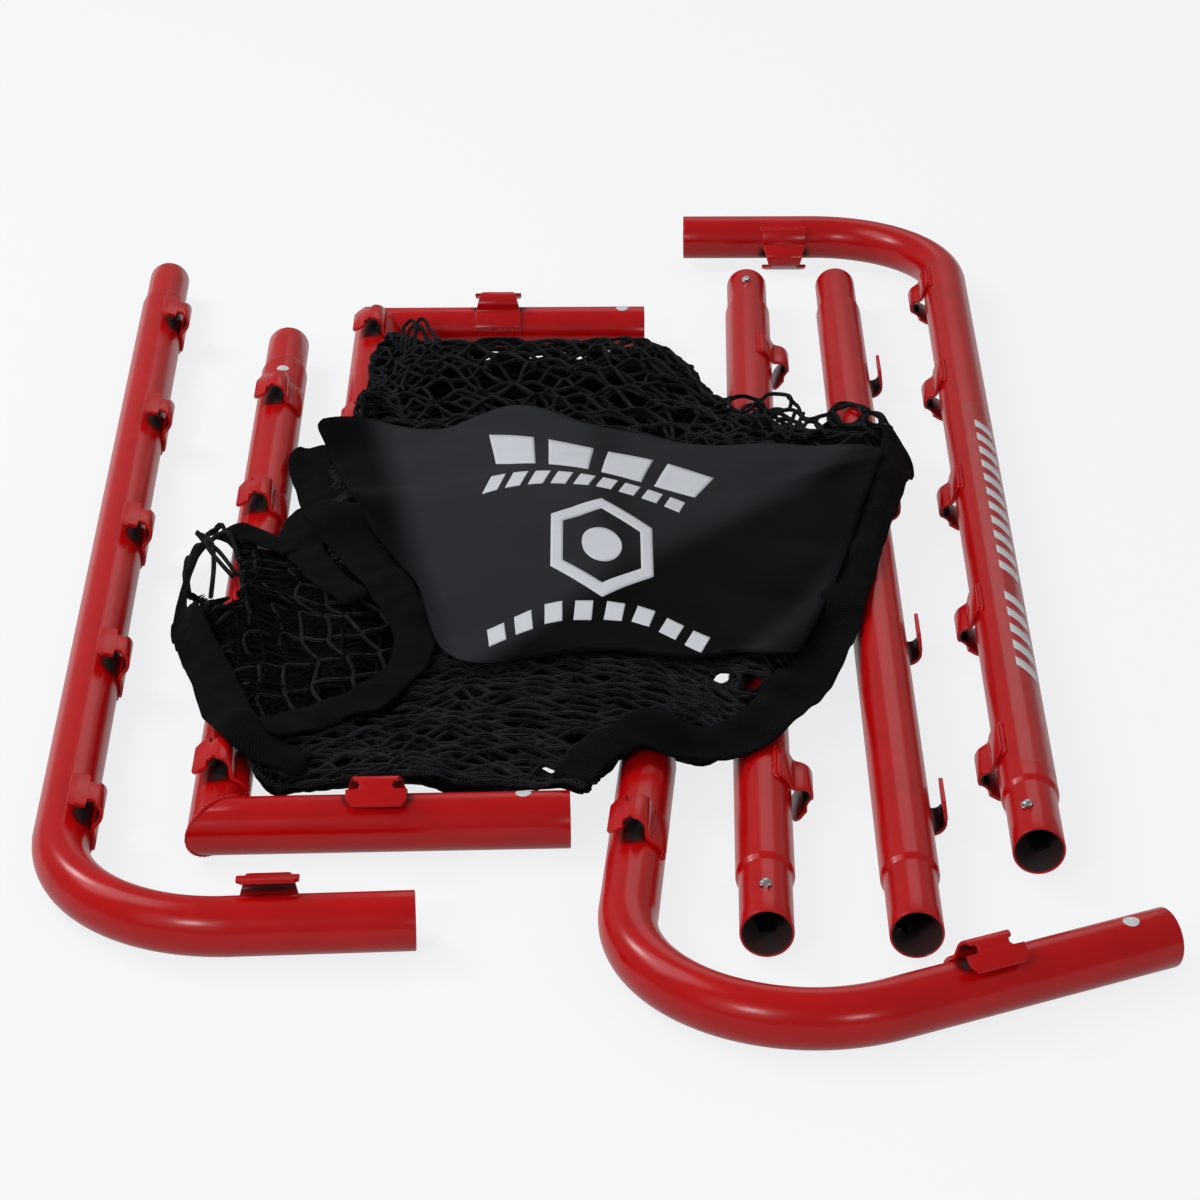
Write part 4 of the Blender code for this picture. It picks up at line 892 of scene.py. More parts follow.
def edge_offset(points, outline):
    """Distance of flat points from a closed outline, counted as positive inside it."""
    nearest = np.full(len(points), np.inf)
    within = np.zeros(len(points), bool)
    for start, end in zip(outline, np.roll(outline, -1, axis=0)):
        along = end - start
        share = np.clip(((points - start) @ along) / (along @ along), 0.0, 1.0)
        nearest = np.minimum(nearest, np.linalg.norm(points - start - share[:, None] * along, axis=1))
        rise = along[1] if along[1] else 1e-12
        crosses = (start[1] > points[:, 1]) != (end[1] > points[:, 1])
        within ^= crosses & (points[:, 0] < start[0] + (points[:, 1] - start[1]) * along[0] / rise)
    return np.where(within, nearest, -nearest)


def neighbours(field):
    """The four neighbours of each cell of a map, its edge cells repeated outwards."""
    wide = np.pad(field, 1, mode="edge")
    return np.stack([wide[2:, 1:-1], wide[:-2, 1:-1], wide[1:-1, 2:], wide[1:-1, :-2]])


def blurred(field, rounds):
    """Each cell becomes the mean of its four neighbours and twice itself, several times over."""
    for _ in range(rounds):
        field = sum(neighbours(field), field * 2.0) / 6.0
    return field


HEAP_LINES = [low + HEAP_STEP * np.arange(count) for low, count in zip(HEAP_LOW, HEAP_CELLS)]
HEAP_SPOTS = np.stack(np.meshgrid(*HEAP_LINES, indexing="ij"), axis=-1).reshape(-1, 2)


def height_maps(node):
    """Lowest and highest surface of a soft solid of the frame over the grid, spread out past its edge."""
    mesh = frame["nodes"][node].data
    points, faces = [point.co for point in mesh.vertices], [face.vertices for face in mesh.polygons]
    tree = BVHTree.FromPolygons(points, faces)
    fields = []
    for start, way in ((-1.0, UP), (1.0, -UP)):
        hits = [tree.ray_cast((x, y, start), way)[0] for x, y in HEAP_SPOTS.tolist()]
        field = np.array([np.nan if hit is None else hit.z for hit in hits]).reshape(HEAP_CELLS)
        for _ in range(SPREAD_ROUNDS):
            near = neighbours(field)
            known = np.isfinite(near)
            mean = np.where(known, near, 0.0).sum(axis=0) / np.maximum(known.sum(axis=0), 1)
            field = np.where(np.isfinite(field), field, np.where(known.any(axis=0), mean, np.nan))
        fields.append(np.where(np.isfinite(field), field, 0.0))
    return fields


def read_map(field, spots):
    """Value of a map at flat places, from the four grid cells round each."""
    place = (spots - HEAP_LOW) / HEAP_STEP
    cell = np.clip(np.floor(place).astype(int), 0, np.array(HEAP_CELLS) - 2)
    share = np.clip(place - cell, 0.0, 1.0)
    column, row = cell[:, 0], cell[:, 1]
    low = field[column, row] * (1.0 - share[:, 0]) + field[column + 1, row] * share[:, 0]
    high = field[column, row + 1] * (1.0 - share[:, 0]) + field[column + 1, row + 1] * share[:, 0]
    return low * (1.0 - share[:, 1]) + high * share[:, 1]


NETTING_EDGE = smooth_curve(NETTING_OUTLINE, 0.012, True)
heap_low, heap_high = height_maps("net_netting")
HEAP_BASE = np.maximum(blurred(heap_low, 3), heap_low)
HEAP_CREST = blurred(heap_high, 4)
swell = ((HEAP_SPOTS - NET_MOVE - SWELL_PLACE) / SWELL_REACH) ** 2
HEAP_CREST = HEAP_CREST + SWELL_HEIGHT * np.exp(-swell.sum(axis=1)).reshape(HEAP_CELLS)
HEAP_INSET = edge_offset(HEAP_SPOTS, NETTING_EDGE).reshape(HEAP_CELLS)
HEAP_WAY = np.gradient(blurred(HEAP_INSET, 2), HEAP_STEP)

# The smooth panel lies over the middle of the heap; its underside is the most that the cords below may reach
PANEL_OUTLINE = plan(
    (-262, 280), (-248, 288), (-226, 286), (-203, 280), (-174, 262), (-130, 250), (-91, 276), (-60, 294),
    (-30, 288), (31, 254), (132, 222), (235, 226), (290, 213), (316, 188), (298, 102), (268, -30),
    (232, -158), (202, -244), (156, -250), (120, -257), (74, -254), (29, -250), (-24, -262), (-78, -265),
    (-111, -244), (-128, -193), (-142, -126), (-172, -42), (-207, 50), (-231, 150), (-250, 236),
)
PANEL_SHEET = 0.0016
PANEL_MARGIN = 0.006
PANEL_CLEAR = 0.003
PANEL_ROUNDS = 45
PANEL_LIFT = 0.0020
PANEL_EDGE = smooth_curve(PANEL_OUTLINE, 0.010, True)
PANEL_INSET = edge_offset(HEAP_SPOTS, PANEL_EDGE).reshape(HEAP_CELLS)
panel_high = height_maps("net_panel")[1]
PANEL_TOP = blurred(np.maximum(panel_high, HEAP_CREST + PANEL_CLEAR), PANEL_ROUNDS) + PANEL_LIFT


def opening_offset(spots, heights, outline, lean):
    """Distance from a leaning opening, negative within it, and the places as they are seen on the floor."""
    down = spots + heights[:, None] * np.array(lean)
    return -edge_offset(down, outline), down


def clear_openings(spots, heights, room):
    """Move the places that fall in an opening to just outside its edge."""
    for outline, lean in OPENINGS:
        offset, down = opening_offset(spots, heights, outline, lean)
        inner = offset < room
        if inner.any():
            edge = smooth_curve(outline, 0.003, True)
            gaps = down[inner][:, None] - edge[None]
            nearest = edge[np.linalg.norm(gaps, axis=2).argmin(axis=1)]
            centre = edge.mean(axis=0)
            spots[inner] += nearest + unit(nearest - centre) * room - down[inner]
    return spots


def cord_tubes(lines, keep, radius, ahead):
    """Six-sided tubes along rows of points, broken where points aren't kept and pointed at each end."""
    linked = keep[:, :-1] & keep[:, 1:] & (np.linalg.norm(np.diff(lines, axis=1), axis=2) < LONGEST_STEP)
    shut = np.pad(linked, ((0, 0), (1, 1)))
    ends = ~(shut[:, 1:] & shut[:, :-1])
    thick = np.where(ends, 0.0, radius)
    side = unit(np.cross(ahead, UP) + 1e-9)
    over = np.cross(side, ahead)
    turn = full_turn(CORD_SIDES)[:, None]
    section = side[:, :, None] * np.cos(turn) + over[:, :, None] * np.sin(turn)
    rings = lines[:, :, None] + thick[:, :, None, None] * section
    rows, columns = keep.shape
    index = np.arange(rows)[:, None] * columns + np.arange(columns - 1)[None, :]
    index = index[linked][:, None] * CORD_SIDES
    ring = np.arange(CORD_SIDES)
    after = (ring + 1) % CORD_SIDES
    faces = [index + ring, index + after, index + CORD_SIDES + after, index + CORD_SIDES + ring]
    return rings.reshape(-1, 3), np.stack(faces, axis=-1).reshape(-1, 4)


def cord_uv(lines, faces):
    """Braid map of cord faces: metres run along the cord, and turns round it."""
    steps = np.diff(lines, axis=1, prepend=lines[:, :1])
    run = np.cumsum(np.linalg.norm(steps, axis=2), axis=1).reshape(-1)
    start, ring = faces[:, 0] // CORD_SIDES, faces[:, 0] % CORD_SIDES
    here, there, low, high = run[start], run[start + 1], ring / CORD_SIDES, (ring + 1) / CORD_SIDES
    return np.stack([here, low, here, high, there, high, there, low], axis=1)


def braided_nylon(name, tone, painted_glint):
    """Braided black nylon: strands cross along the cord's own map, each a hump, with painted shade between
    them and a few painted glints on their crests.
    """
    cord = Finish(name)
    place = cord.add("SeparateXYZ", cord.add("UVMap", uv_map="braid")["UV"])
    strands = []
    for hand in (1.0, -1.0):
        around = cord.math("MULTIPLY", place["Y"], hand * STRAND_TURNS)
        strands.append(cord.math("SINE", cord.math("MULTIPLY_ADD", place["X"], STRAND_WAVE, around)))
    grain = relief(cord, 900.0, 45.0, 0.5)["Height"]
    braid = cord.math("MULTIPLY_ADD", cord.math("MULTIPLY", *strands), 0.34, grain)
    # Painted shade between the strands and painted glints on their crests, around the cord's own tone
    groove_shade = [part * 0.40 for part in tone]
    return cord.surface(
        Base_Color=cord.ramp(braid, (0.30, groove_shade), (0.60, tone), (0.76, painted_glint)),
        Roughness=0.70, Specular_IOR_Level=0.03, Normal=cord.bump(braid, 0.9, 0.0009))


# Cords of the upper layers, and a darker copy with painted shade for the layers low in the heap
NETTING_CORD = braided_nylon("netting_cord", (0.0044, 0.0046, 0.0054), (0.066, 0.069, 0.078))
NETTING_SHADED = braided_nylon("netting_deep", (0.0018, 0.0018, 0.0022), (0.006, 0.006, 0.008))


def soft_drift(spots, draw, waves, shortest, longest, reach):
    """A smooth wandering vector: the sum of a few sine waves of random heading, length and start."""
    drift = np.zeros_like(spots)
    for _ in range(waves):
        heading, push = draw.uniform(0.0, 2.0 * math.pi, 2)
        wave = 2.0 * math.pi / draw.uniform(shortest, longest)
        start = draw.uniform(0.0, 2.0 * math.pi)
        phase = wave * (spots @ np.array((math.cos(heading), math.sin(heading)))) + start
        drift += reach * np.sin(phase)[:, None] * np.array((math.cos(push), math.sin(push)))
    return drift


def row_spacing(sweep, close, wide):
    """Half the height of a mesh across the folds: closed up in front, opening out over the heap's top."""
    return close + (wide - close) * smooth_step((sweep - OPENS_FROM) / OPENS_OVER)


def netting_layer(number, depth, close, wide, crowding, turn, seed, in_flap, finish):
    """One layer: zigzag cords meet at their turns in diamonds; rows follow the folds and crowd on crests."""
    draw = np.random.default_rng(seed)
    sweep = np.linspace(*FOLD_SWEEP, 2841)
    crowd = 1.0 + crowding * np.sin(2.0 * math.pi * sweep / FOLD_PITCH)
    count = np.cumsum(crowd / row_spacing(sweep, close, wide)) * (sweep[1] - sweep[0])
    rows = np.arange(1, int(count[-1]) - 1)
    steps = np.arange(0.0, ROW_MESHES, 1.0 / CORD_SAMPLES)
    zigzag = 1.0 - 2.0 * np.abs((steps[None, :] + rows[:, None]) % 2.0 - 1.0)
    place = rows[:, None] + 0.5 + 0.5 * np.clip(JOINT_DWELL * zigzag, -1.0, 1.0)
    across = np.interp(place, count, sweep)
    half_height = row_spacing(across, close, wide)
    half_width = np.sqrt(MESH_SIDE ** 2 - half_height ** 2) * MESH_SLACK
    x = (steps[None, :] - ROW_MESHES / 2.0 + draw.uniform(-1.0, 1.0)) * half_width
    y = (across - FOLD_SLANT * x - FOLD_BOW * x * x) / FOLD_SQUEEZE
    spots = np.stack([x, y], axis=-1).reshape(-1, 2)
    swing = math.radians(turn)
    spots = spots @ np.array(((math.cos(swing), math.sin(swing)), (-math.sin(swing), math.cos(swing))))
    spots += soft_drift(spots, draw, *LAYER_DRIFT) + soft_drift(spots, draw, *LAYER_RIPPLE)
    spots += NET_MOVE
    inset = read_map(HEAP_INSET, spots)
    way = unit(np.stack([read_map(field, spots) for field in HEAP_WAY], axis=1) + 1e-9)
    outside = np.clip(-inset, 0.0, None)
    keep = inset > -TURN_UNDER
    if in_flap is not None:
        flap = edge_offset(spots, LEFT_FLAP)
        keep &= flap > 0.0 if in_flap else flap < 0.0
    spots += way * (2.0 * outside + np.clip(RIM_ROUND - np.abs(inset), 0.0, None))[:, None]
    base, crest = read_map(HEAP_BASE, spots), read_map(HEAP_CREST, spots)
    under = np.clip(outside / UNDER_ROUND, 0.0, 1.0)
    level = depth * (1.0 - smooth_step(under)) + UNDER_LEVEL * under
    lift = soft_drift(spots, draw, *LAYER_RISE)[:, 0] + JOINT_LIFT * zigzag.reshape(-1)
    heights = base + CORD_RADIUS + (crest - base - 2.0 * CORD_RADIUS) * level + lift
    below_panel = read_map(PANEL_INSET, spots) > -PANEL_MARGIN
    roof = np.where(below_panel, read_map(PANEL_TOP, spots) - PANEL_SHEET - CORD_RADIUS, crest)
    heights = np.maximum(np.minimum(heights, np.minimum(roof, crest - CORD_RADIUS * 0.5)), base + CORD_RADIUS)
    spots = clear_openings(spots, heights, CORD_RADIUS + draw.uniform(0.0, OPENING_SCATTER))
    line = np.concatenate([spots, heights[:, None]], axis=1).reshape(len(rows), len(steps), 3)
    keep = keep.reshape(len(rows), len(steps))
    line[:, 1:-1] = (line[:, :-2] + 2.0 * line[:, 1:-1] + line[:, 2:]) / 4.0
    ahead = unit(np.gradient(line, axis=1) + 1e-9)
    points, faces = cord_tubes(line, keep, CORD_RADIUS, ahead)
    layer = new_piece(f"netting_layer_{number}", points, faces, finish, "net", "netting",
                      uv=("braid", cord_uv(line, faces)))
    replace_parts(layer, "net_netting")


# Each layer: depth in the heap, row spacing in front and over the top, crowding on the folds, turn in
# degrees, seed, whether it is the flap's (None: both), finish, the darker one with painted shade
NETTING_LAYERS = (
    (0.97, 0.0090, 0.0240, 0.45, 0.0, 3, False, NETTING_CORD),
    (0.92, 0.0110, 0.0215, 0.45, 7.0, 5, False, NETTING_CORD),
    (0.85, 0.0100, 0.0200, 0.45, -9.0, 8, False, NETTING_CORD),
    (0.74, 0.0090, 0.0190, 0.45, 14.0, 13, False, NETTING_SHADED),
    (0.60, 0.0095, 0.0180, 0.45, -16.0, 21, None, NETTING_SHADED),
    (0.40, 0.0100, 0.0180, 0.45, 4.0, 34, None, NETTING_SHADED),
    (0.16, 0.0100, 0.0200, 0.45, -5.0, 55, None, NETTING_SHADED),
    (0.93, 0.0230, 0.0230, 0.0, 58.0, 70, True, NETTING_CORD),
    (0.80, 0.0210, 0.0210, 0.0, -44.0, 71, True, NETTING_SHADED),
)
for number, layer in enumerate(NETTING_LAYERS, 1):
    netting_layer(number, *layer)


# Packed folds: the oldest folds at the bottom of the heap, drawn as one soft lumpy mass behind the cords. Its
# near-black tone is partly the nylon's own and partly painted shade.
CORE_INSET = 0.020
CORE_ROOM = 0.006
CORE_SHARE = 0.55
CORE_LIFT = 0.002
CORE_THIN = 0.003
CORE_DRIFT = (6, 0.03, 0.09, 0.0010)
CORE_SEED = 89


def soft_slab(name, room, low, high, finish, slot):
    """Closed body between two height maps over the cells that have room, its rim drawn out to no room."""
    rows, columns = HEAP_CELLS
    inner = room > 0.0
    cells = inner[:-1, :-1] & inner[1:, :-1] & inner[1:, 1:] & inner[:-1, 1:]
    column, row = np.nonzero(cells)
    corner = column * columns + row
    quads = np.stack([corner, corner + columns, corner + columns + 1, corner + 1], axis=1)
    count = rows * columns
    pairs = np.concatenate([quads[:, [item, (item + 1) % 4]] for item in range(4)])
    rim = pairs[~np.isin(pairs[:, 0] * count + pairs[:, 1], pairs[:, 1] * count + pairs[:, 0])]
    walls = np.stack([rim[:, 0], rim[:, 1], rim[:, 1] + count, rim[:, 0] + count], axis=1)
    rim = np.unique(rim)
    slope = np.stack([part.reshape(-1) for part in np.gradient(blurred(room, 2), HEAP_STEP)], axis=1)
    slope = unit(slope + 1e-9)
    spots = HEAP_SPOTS.copy()
    spots[rim] -= slope[rim] * np.minimum(room.reshape(-1)[rim], HEAP_STEP * 1.3)[:, None]
    on_rim = np.isin(np.arange(count), rim)
    levels = [np.where(on_rim, read_map(field, spots), field.reshape(-1)) for field in (low, high)]
    points = np.concatenate([np.column_stack([spots, level]) for level in levels])
    faces = np.concatenate([quads[:, ::-1], quads + count, walls])
    return new_piece(name, points, faces, finish, "net", slot)


def packed_folds():
    """A share of the heap's height, its rim pulled in from the heap's edge and from the openings."""
    wave = soft_drift(HEAP_SPOTS, np.random.default_rng(CORE_SEED), *CORE_DRIFT)[:, 0].reshape(HEAP_CELLS)
    low = HEAP_BASE + CORE_LIFT
    high = low + np.clip((HEAP_CREST - HEAP_BASE) * CORE_SHARE + wave, CORE_THIN, None)
    room = HEAP_INSET - CORE_INSET
    for outline, lean in OPENINGS:
        for level in (low, high):
            offset = opening_offset(HEAP_SPOTS, level.reshape(-1), outline, lean)[0]
            room = np.minimum(room, offset.reshape(HEAP_CELLS) - CORE_ROOM)
    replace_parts(soft_slab("netting_packed_folds", room, low, high, PACKED_NYLON, "netting"), "net_netting")


def packed_nylon():
    """Netting too dense to tell its cords apart: near black with painted shade, darkest at the edges of
    cord-sized cells that also give its relief.
    """
    packed = Finish("netting_packed")
    place = packed.add("TexCoord")["Object"]
    cells = packed.add("TexVoronoi", Vector=place, Scale=150.0, Randomness=0.9)["Distance"]
    return packed.surface(
        Base_Color=packed.ramp(cells, (0.0, (0.0045, 0.0045, 0.005)), (0.6, (0.0015, 0.0015, 0.0018))),
        Roughness=0.9, Specular_IOR_Level=0.02, Normal=packed.bump(cells, 1.0, 0.004, invert=True))


PACKED_NYLON = packed_nylon()
packed_folds()


# Loose cords: single cords of the netting that bow out over the openings at the left end, eyes that lie out
# over the tubes at the upper edge, and a doubled cord round each other opening. Places are x and y on the
# plan and the height above the floor, in millimetres.
LOOSE_CORDS = (
    ((-364, 40, 63), (-360, 28, 62), (-353, 14, 62), (-338, -10, 64), (-315, -58, 60)),
    ((-366, 40, 60), (-353, 22, 64), (-345, 0, 66), (-340, -40, 62), (-338, -98, 56)),
    ((-318, -66, 62), (-334, -36, 64), (-349, -4, 66), (-351, 30, 64), (-343, 50, 60)),
    ((-352, 6, 60), (-344, 28, 62), (-333, 32, 64), (-325, 6, 66), (-316, -34, 62)),
)
# Eyes and edge cords that lie out over the tubes, all at one height: x and y in tenths of a millimetre
EDGE_CORDS = (
    ((895, 5152), (1056, 4978), (1222, 4635), (1330, 4215), (1418, 3886), (1496, 3682), (1568, 3600),
     (1642, 3612), (1741, 3705), (1859, 3757), (1953, 3715), (2011, 3580), (2020, 3287), (1995, 2947)),
    ((1755, 3238), (1825, 3422), (1915, 3554), (2014, 3647), (2093, 3767), (2193, 3846), (2287, 3818),
     (2332, 3655), (2313, 3495), (2255, 3376), (2150, 3377), (2053, 3326), (1992, 3129)),
    ((1664, 3612), (1690, 3451), (1760, 3370), (1866, 3395), (1968, 3553), (2023, 3606), (2048, 3445),
     (2039, 3260), (2095, 3102)),
    ((2294, 3736), (2362, 3614), (2395, 3440), (2427, 3254), (2505, 3148), (2590, 3159), (2679, 3263),
     (2751, 3408), (2853, 3526), (2961, 3565), (3052, 3496), (3105, 3349), (3082, 3165), (3019, 3009),
     (2913, 2984), (2835, 3064), (2770, 3196), (2713, 3302)),
    ((1765, 3212), (1857, 3158), (1964, 3209), (2069, 3207), (2189, 3324), (2307, 3362), (2398, 3307),
     (2443, 3149), (2522, 3069)),
    ((2109, 2945), (2179, 3100), (2284, 3112), (2298, 2968), (2220, 2878), (2127, 2893), (2099, 2945)),
    ((2420, 2914), (2479, 3043), (2563, 3055), (2619, 2950), (2570, 2808), (2476, 2797), (2420, 2914),
     (2363, 3019)),
    ((2715, 3329), (2702, 3118), (2754, 2935), (2854, 2881), (2970, 2905), (3052, 3034), (3120, 3270)),
    ((3096, 3376), (3176, 3322), (3253, 3215), (3304, 3057), (3341, 2848)),
    ((3124, 3322), (3090, 3138), (3119, 2955), (3213, 2954), (3266, 3110), (3226, 3281)),
    ((2037, 3207), (2133, 3022), (2274, 2916), (2416, 2836), (2502, 2706)),
    ((2084, 3312), (2237, 3231), (2356, 3097), (2429, 2888), (2438, 2681)),
    ((2019, 3024), (2168, 2866), (2330, 2786), (2481, 2706)),
    ((2368, 3334), (2317, 3151), (2244, 2943), (2153, 2763)),
    ((2450, 3280), (2388, 3097), (2325, 2889), (2274, 2710)),
    ((2602, 3199), (2562, 3042), (2604, 2859), (2667, 2704)),
    ((2758, 3355), (2817, 3447), (2936, 3498), (3037, 3430), (3070, 3297), (3026, 3113), (2956, 3010),
     (2863, 3011), (2798, 3143), (2757, 3328)),
    ((-1862, 5053), (-1869, 5458), (-1854, 5840), (-1793, 5988), (-1740, 5779), (-1733, 5368),
     (-1747, 4937)),
    ((-1697, 5051), (-1731, 5573), (-1714, 5957), (-1647, 5955), (-1571, 5717), (-1505, 5452),
     (-1481, 5105), (-1533, 4764)),
    ((-1815, 4996), (-1815, 5486), (-1773, 5779), (-1710, 5867), (-1634, 5630), (-1574, 5250),
     (-1538, 4877)),
    ((-1798, 5110), (-1750, 5514), (-1680, 5689), (-1582, 5453), (-1501, 5048)),
    ((-1529, 5511), (-1424, 5334), (-1310, 5217), (-1186, 5129), (-1046, 5213), (-895, 5297),
     (-785, 5324)),
    ((-1965, 4490), (-2088, 4576), (-2164, 4774), (-2165, 5001), (-2096, 5143), (-2005, 5084),
     (-1952, 4884), (-1995, 4658), (-2089, 4604)),
    ((-2179, 4661), (-2152, 4354), (-2094, 4078), (-2021, 4104), (-1989, 4324), (-2053, 4519),
     (-2139, 4521)),
)
EDGE_HEIGHT = 0.058
EDGE_RADIUS = 0.0022
LOOSE_RADIUS = 0.0024
LOOSE_STEP = 0.004
# How far the two cords round an opening lie from its edge, and their share of the heap's height
DOUBLED_CORDS = ((0.0012, 0.88), (0.0042, 0.66))
CORD_FLOOR = 0.003
EDGE_DIP = 0.0022
EDGE_WAVE = 0.9
EYE_DIP = 0.0016
EYE_WAVE = 0.31
EYE_SHIFT = 40.0
# Openings out over the tubes at the upper edge, where the eyes take the place of the doubled cord
OUTER_OPENINGS = range(1, 8)


def edge_run(outline, lean, grow, share, start):
    """A cord once round an opening and a little over, at a share of the heap's height, rising and dipping."""
    loop = smooth_curve(outline, LOOSE_STEP, True)
    loop += unit(loop - loop.mean(axis=0)) * grow
    loop = np.roll(loop, start, axis=0)
    loop = np.concatenate([loop, loop[: len(loop) // 4]])
    spots = loop.copy()
    for _ in range(4):
        low = read_map(HEAP_BASE, spots) + CORD_FLOOR
        heights = np.maximum(low, read_map(HEAP_CREST, spots) * share)
        spots = loop - heights[:, None] * np.array(lean)
    heights = np.maximum(heights + EDGE_DIP * np.sin(np.arange(len(loop)) * EDGE_WAVE), CORD_FLOOR)
    return np.column_stack([spots, heights])


def loose_cord(number, line, radius):
    """One cord along a smooth run of points, drawn to a point at each hidden end."""
    line = line[None]
    ahead = unit(np.gradient(line, axis=1) + 1e-9)
    points, faces = cord_tubes(line, np.ones(line.shape[:2], bool), radius, ahead)
    cord = new_piece(f"netting_cord_{number}", points, faces, NETTING_CORD, "net", "netting",
                     uv=("braid", cord_uv(line, faces)))
    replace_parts(cord, "net_netting")


def eye_run(knots):
    """A cord at the height of the eyes, rising and dipping so that crossing cords clear each other."""
    line = smooth_curve(plan(*knots, parts=10000), LOOSE_STEP / 2.0, False)
    phase = np.arange(len(line)) * EYE_WAVE + EYE_SHIFT * line[0].sum()
    return np.column_stack([line, EDGE_HEIGHT + EYE_DIP * np.sin(phase)])


runs = [smooth_curve(plan(*cord), LOOSE_STEP, False) for cord in LOOSE_CORDS]
for number, (outline, lean) in enumerate(OPENINGS):
    if number not in OUTER_OPENINGS:
        for second, (grow, share) in enumerate(DOUBLED_CORDS):
            runs.append(edge_run(outline, lean, grow, share, number * (2 + second) + second))
for number, line in enumerate(runs, 1):
    loose_cord(number, line, LOOSE_RADIUS)
for number, knots in enumerate(EDGE_CORDS, len(runs) + 1):
    loose_cord(number, eye_run(knots), EDGE_RADIUS)


# Sleeves: flat knitted sleeves, 30 to 50 mm wide, sewn along the net's edges. They lie on the netting: one
# up the right side, one round the flap at the left end, and one between the flap and the panel, which folds
# back once. Knots are x, y and the width, in millimetres.
SLEEVE_THICK = 0.0052
SLEEVE_ROUND = 20
SLEEVES = {
    "net_border_right": (
        (330, 288, 26), (338, 245, 34), (316, 142, 38), (290, 25, 40), (268, -75, 42), (240, -190, 44),
        (204, -294, 46), (166, -368, 48), (118, -394, 46), (74, -392, 44), (42, -396, 42), (18, -412, 40),
        (4, -444, 38)),
    "net_border_left": (
        (-266, -6, 34), (-297, 19, 32), (-319, 31, 30), (-334, 40, 28), (-349, 41, 25), (-358.5, 27, 19),
        (-366.5, 0, 14), (-371, -34, 13), (-371, -75, 15), (-365, -120, 20), (-352, -166, 27),
        (-336, -218, 33), (-320, -268, 38), (-307, -314, 42), (-296, -352, 44), (-284, -384, 44),
        (-262, -404, 44), (-226, -412, 42)),
    "net_border_inner": (
        (-268, 290, 24), (-266, 240, 48), (-249, 154, 52), (-226, 40, 50), (-203, -12, 46),
        (-181, -72, 44), (-157, -137, 42), (-142, -185, 40), (-141, -235, 38), (-156, -278, 38),
        (-180, -312, 38), (-210, -340, 40), (-245, -356, 42), (-270, -376, 44)),
    "net_border_inner_fold": (
        (-240, 122, 30), (-256, 112, 36), (-265, 52, 38), (-257, 2, 38), (-240, -46, 36), (-220, -87, 34),
        (-198, -124, 30)),
}
FOLD_DROP = 0.004
SLEEVE_WIDTH = 0.038
SLEEVE_END = 0.008
SLEEVE_CLEAR = 0.0006
# Powers of the cosine and sine in the oval section, below 1 for a fuller oval
OVAL_POWERS = (0.8, 0.75)
# Height and length of the puckers: across the sleeve, and of the whole sleeve
PUCKER = (0.0009, 0.0065)
BULGE = (0.0012, 0.021)


def knitted_sleeve():
    """Black rib knit: fine slanted ribs along the sleeve's own map crossed by stitches, with painted shade
    in the grooves and painted light on the ribs, softly shining.
    """
    knit = Finish("knitted_sleeve")
    place = knit.add("UVMap", uv_map="knit")["UV"]
    slanted = knit.add("Mapping", place, Rotation=(0.0, 0.0, math.radians(28.0)))["Vector"]
    rib = knit.add("TexWave", slanted, Scale=135.0, Distortion=0.6, Detail=1.0)["Fac"]
    stitch = knit.add("TexWave", slanted, bands_direction="Y", Scale=260.0, Distortion=0.4)["Fac"]
    weave = knit.math("MULTIPLY_ADD", stitch, 0.35, rib)
    fuzz = relief(knit, 700.0, 26.0, 0.5)["Broad"]
    tone = knit.ramp(fuzz, (0.25, (0.0022, 0.0022, 0.0024)), (0.75, (0.0056, 0.0058, 0.0064)))
    # The weave paints shade into the grooves and light onto the ribs
    return knit.surface(
        Base_Color=knit.tinted(0.55, tone, knit.ramp(weave, (0.15, 0.55), (0.95, 1.35))),
        Roughness=0.85, Specular_IOR_Level=0.02, Sheen_Weight=0.012, Sheen_Roughness=0.5,
        Normal=knit.bump(weave, 0.7, 0.0010))


SLEEVE_KNIT = knitted_sleeve()


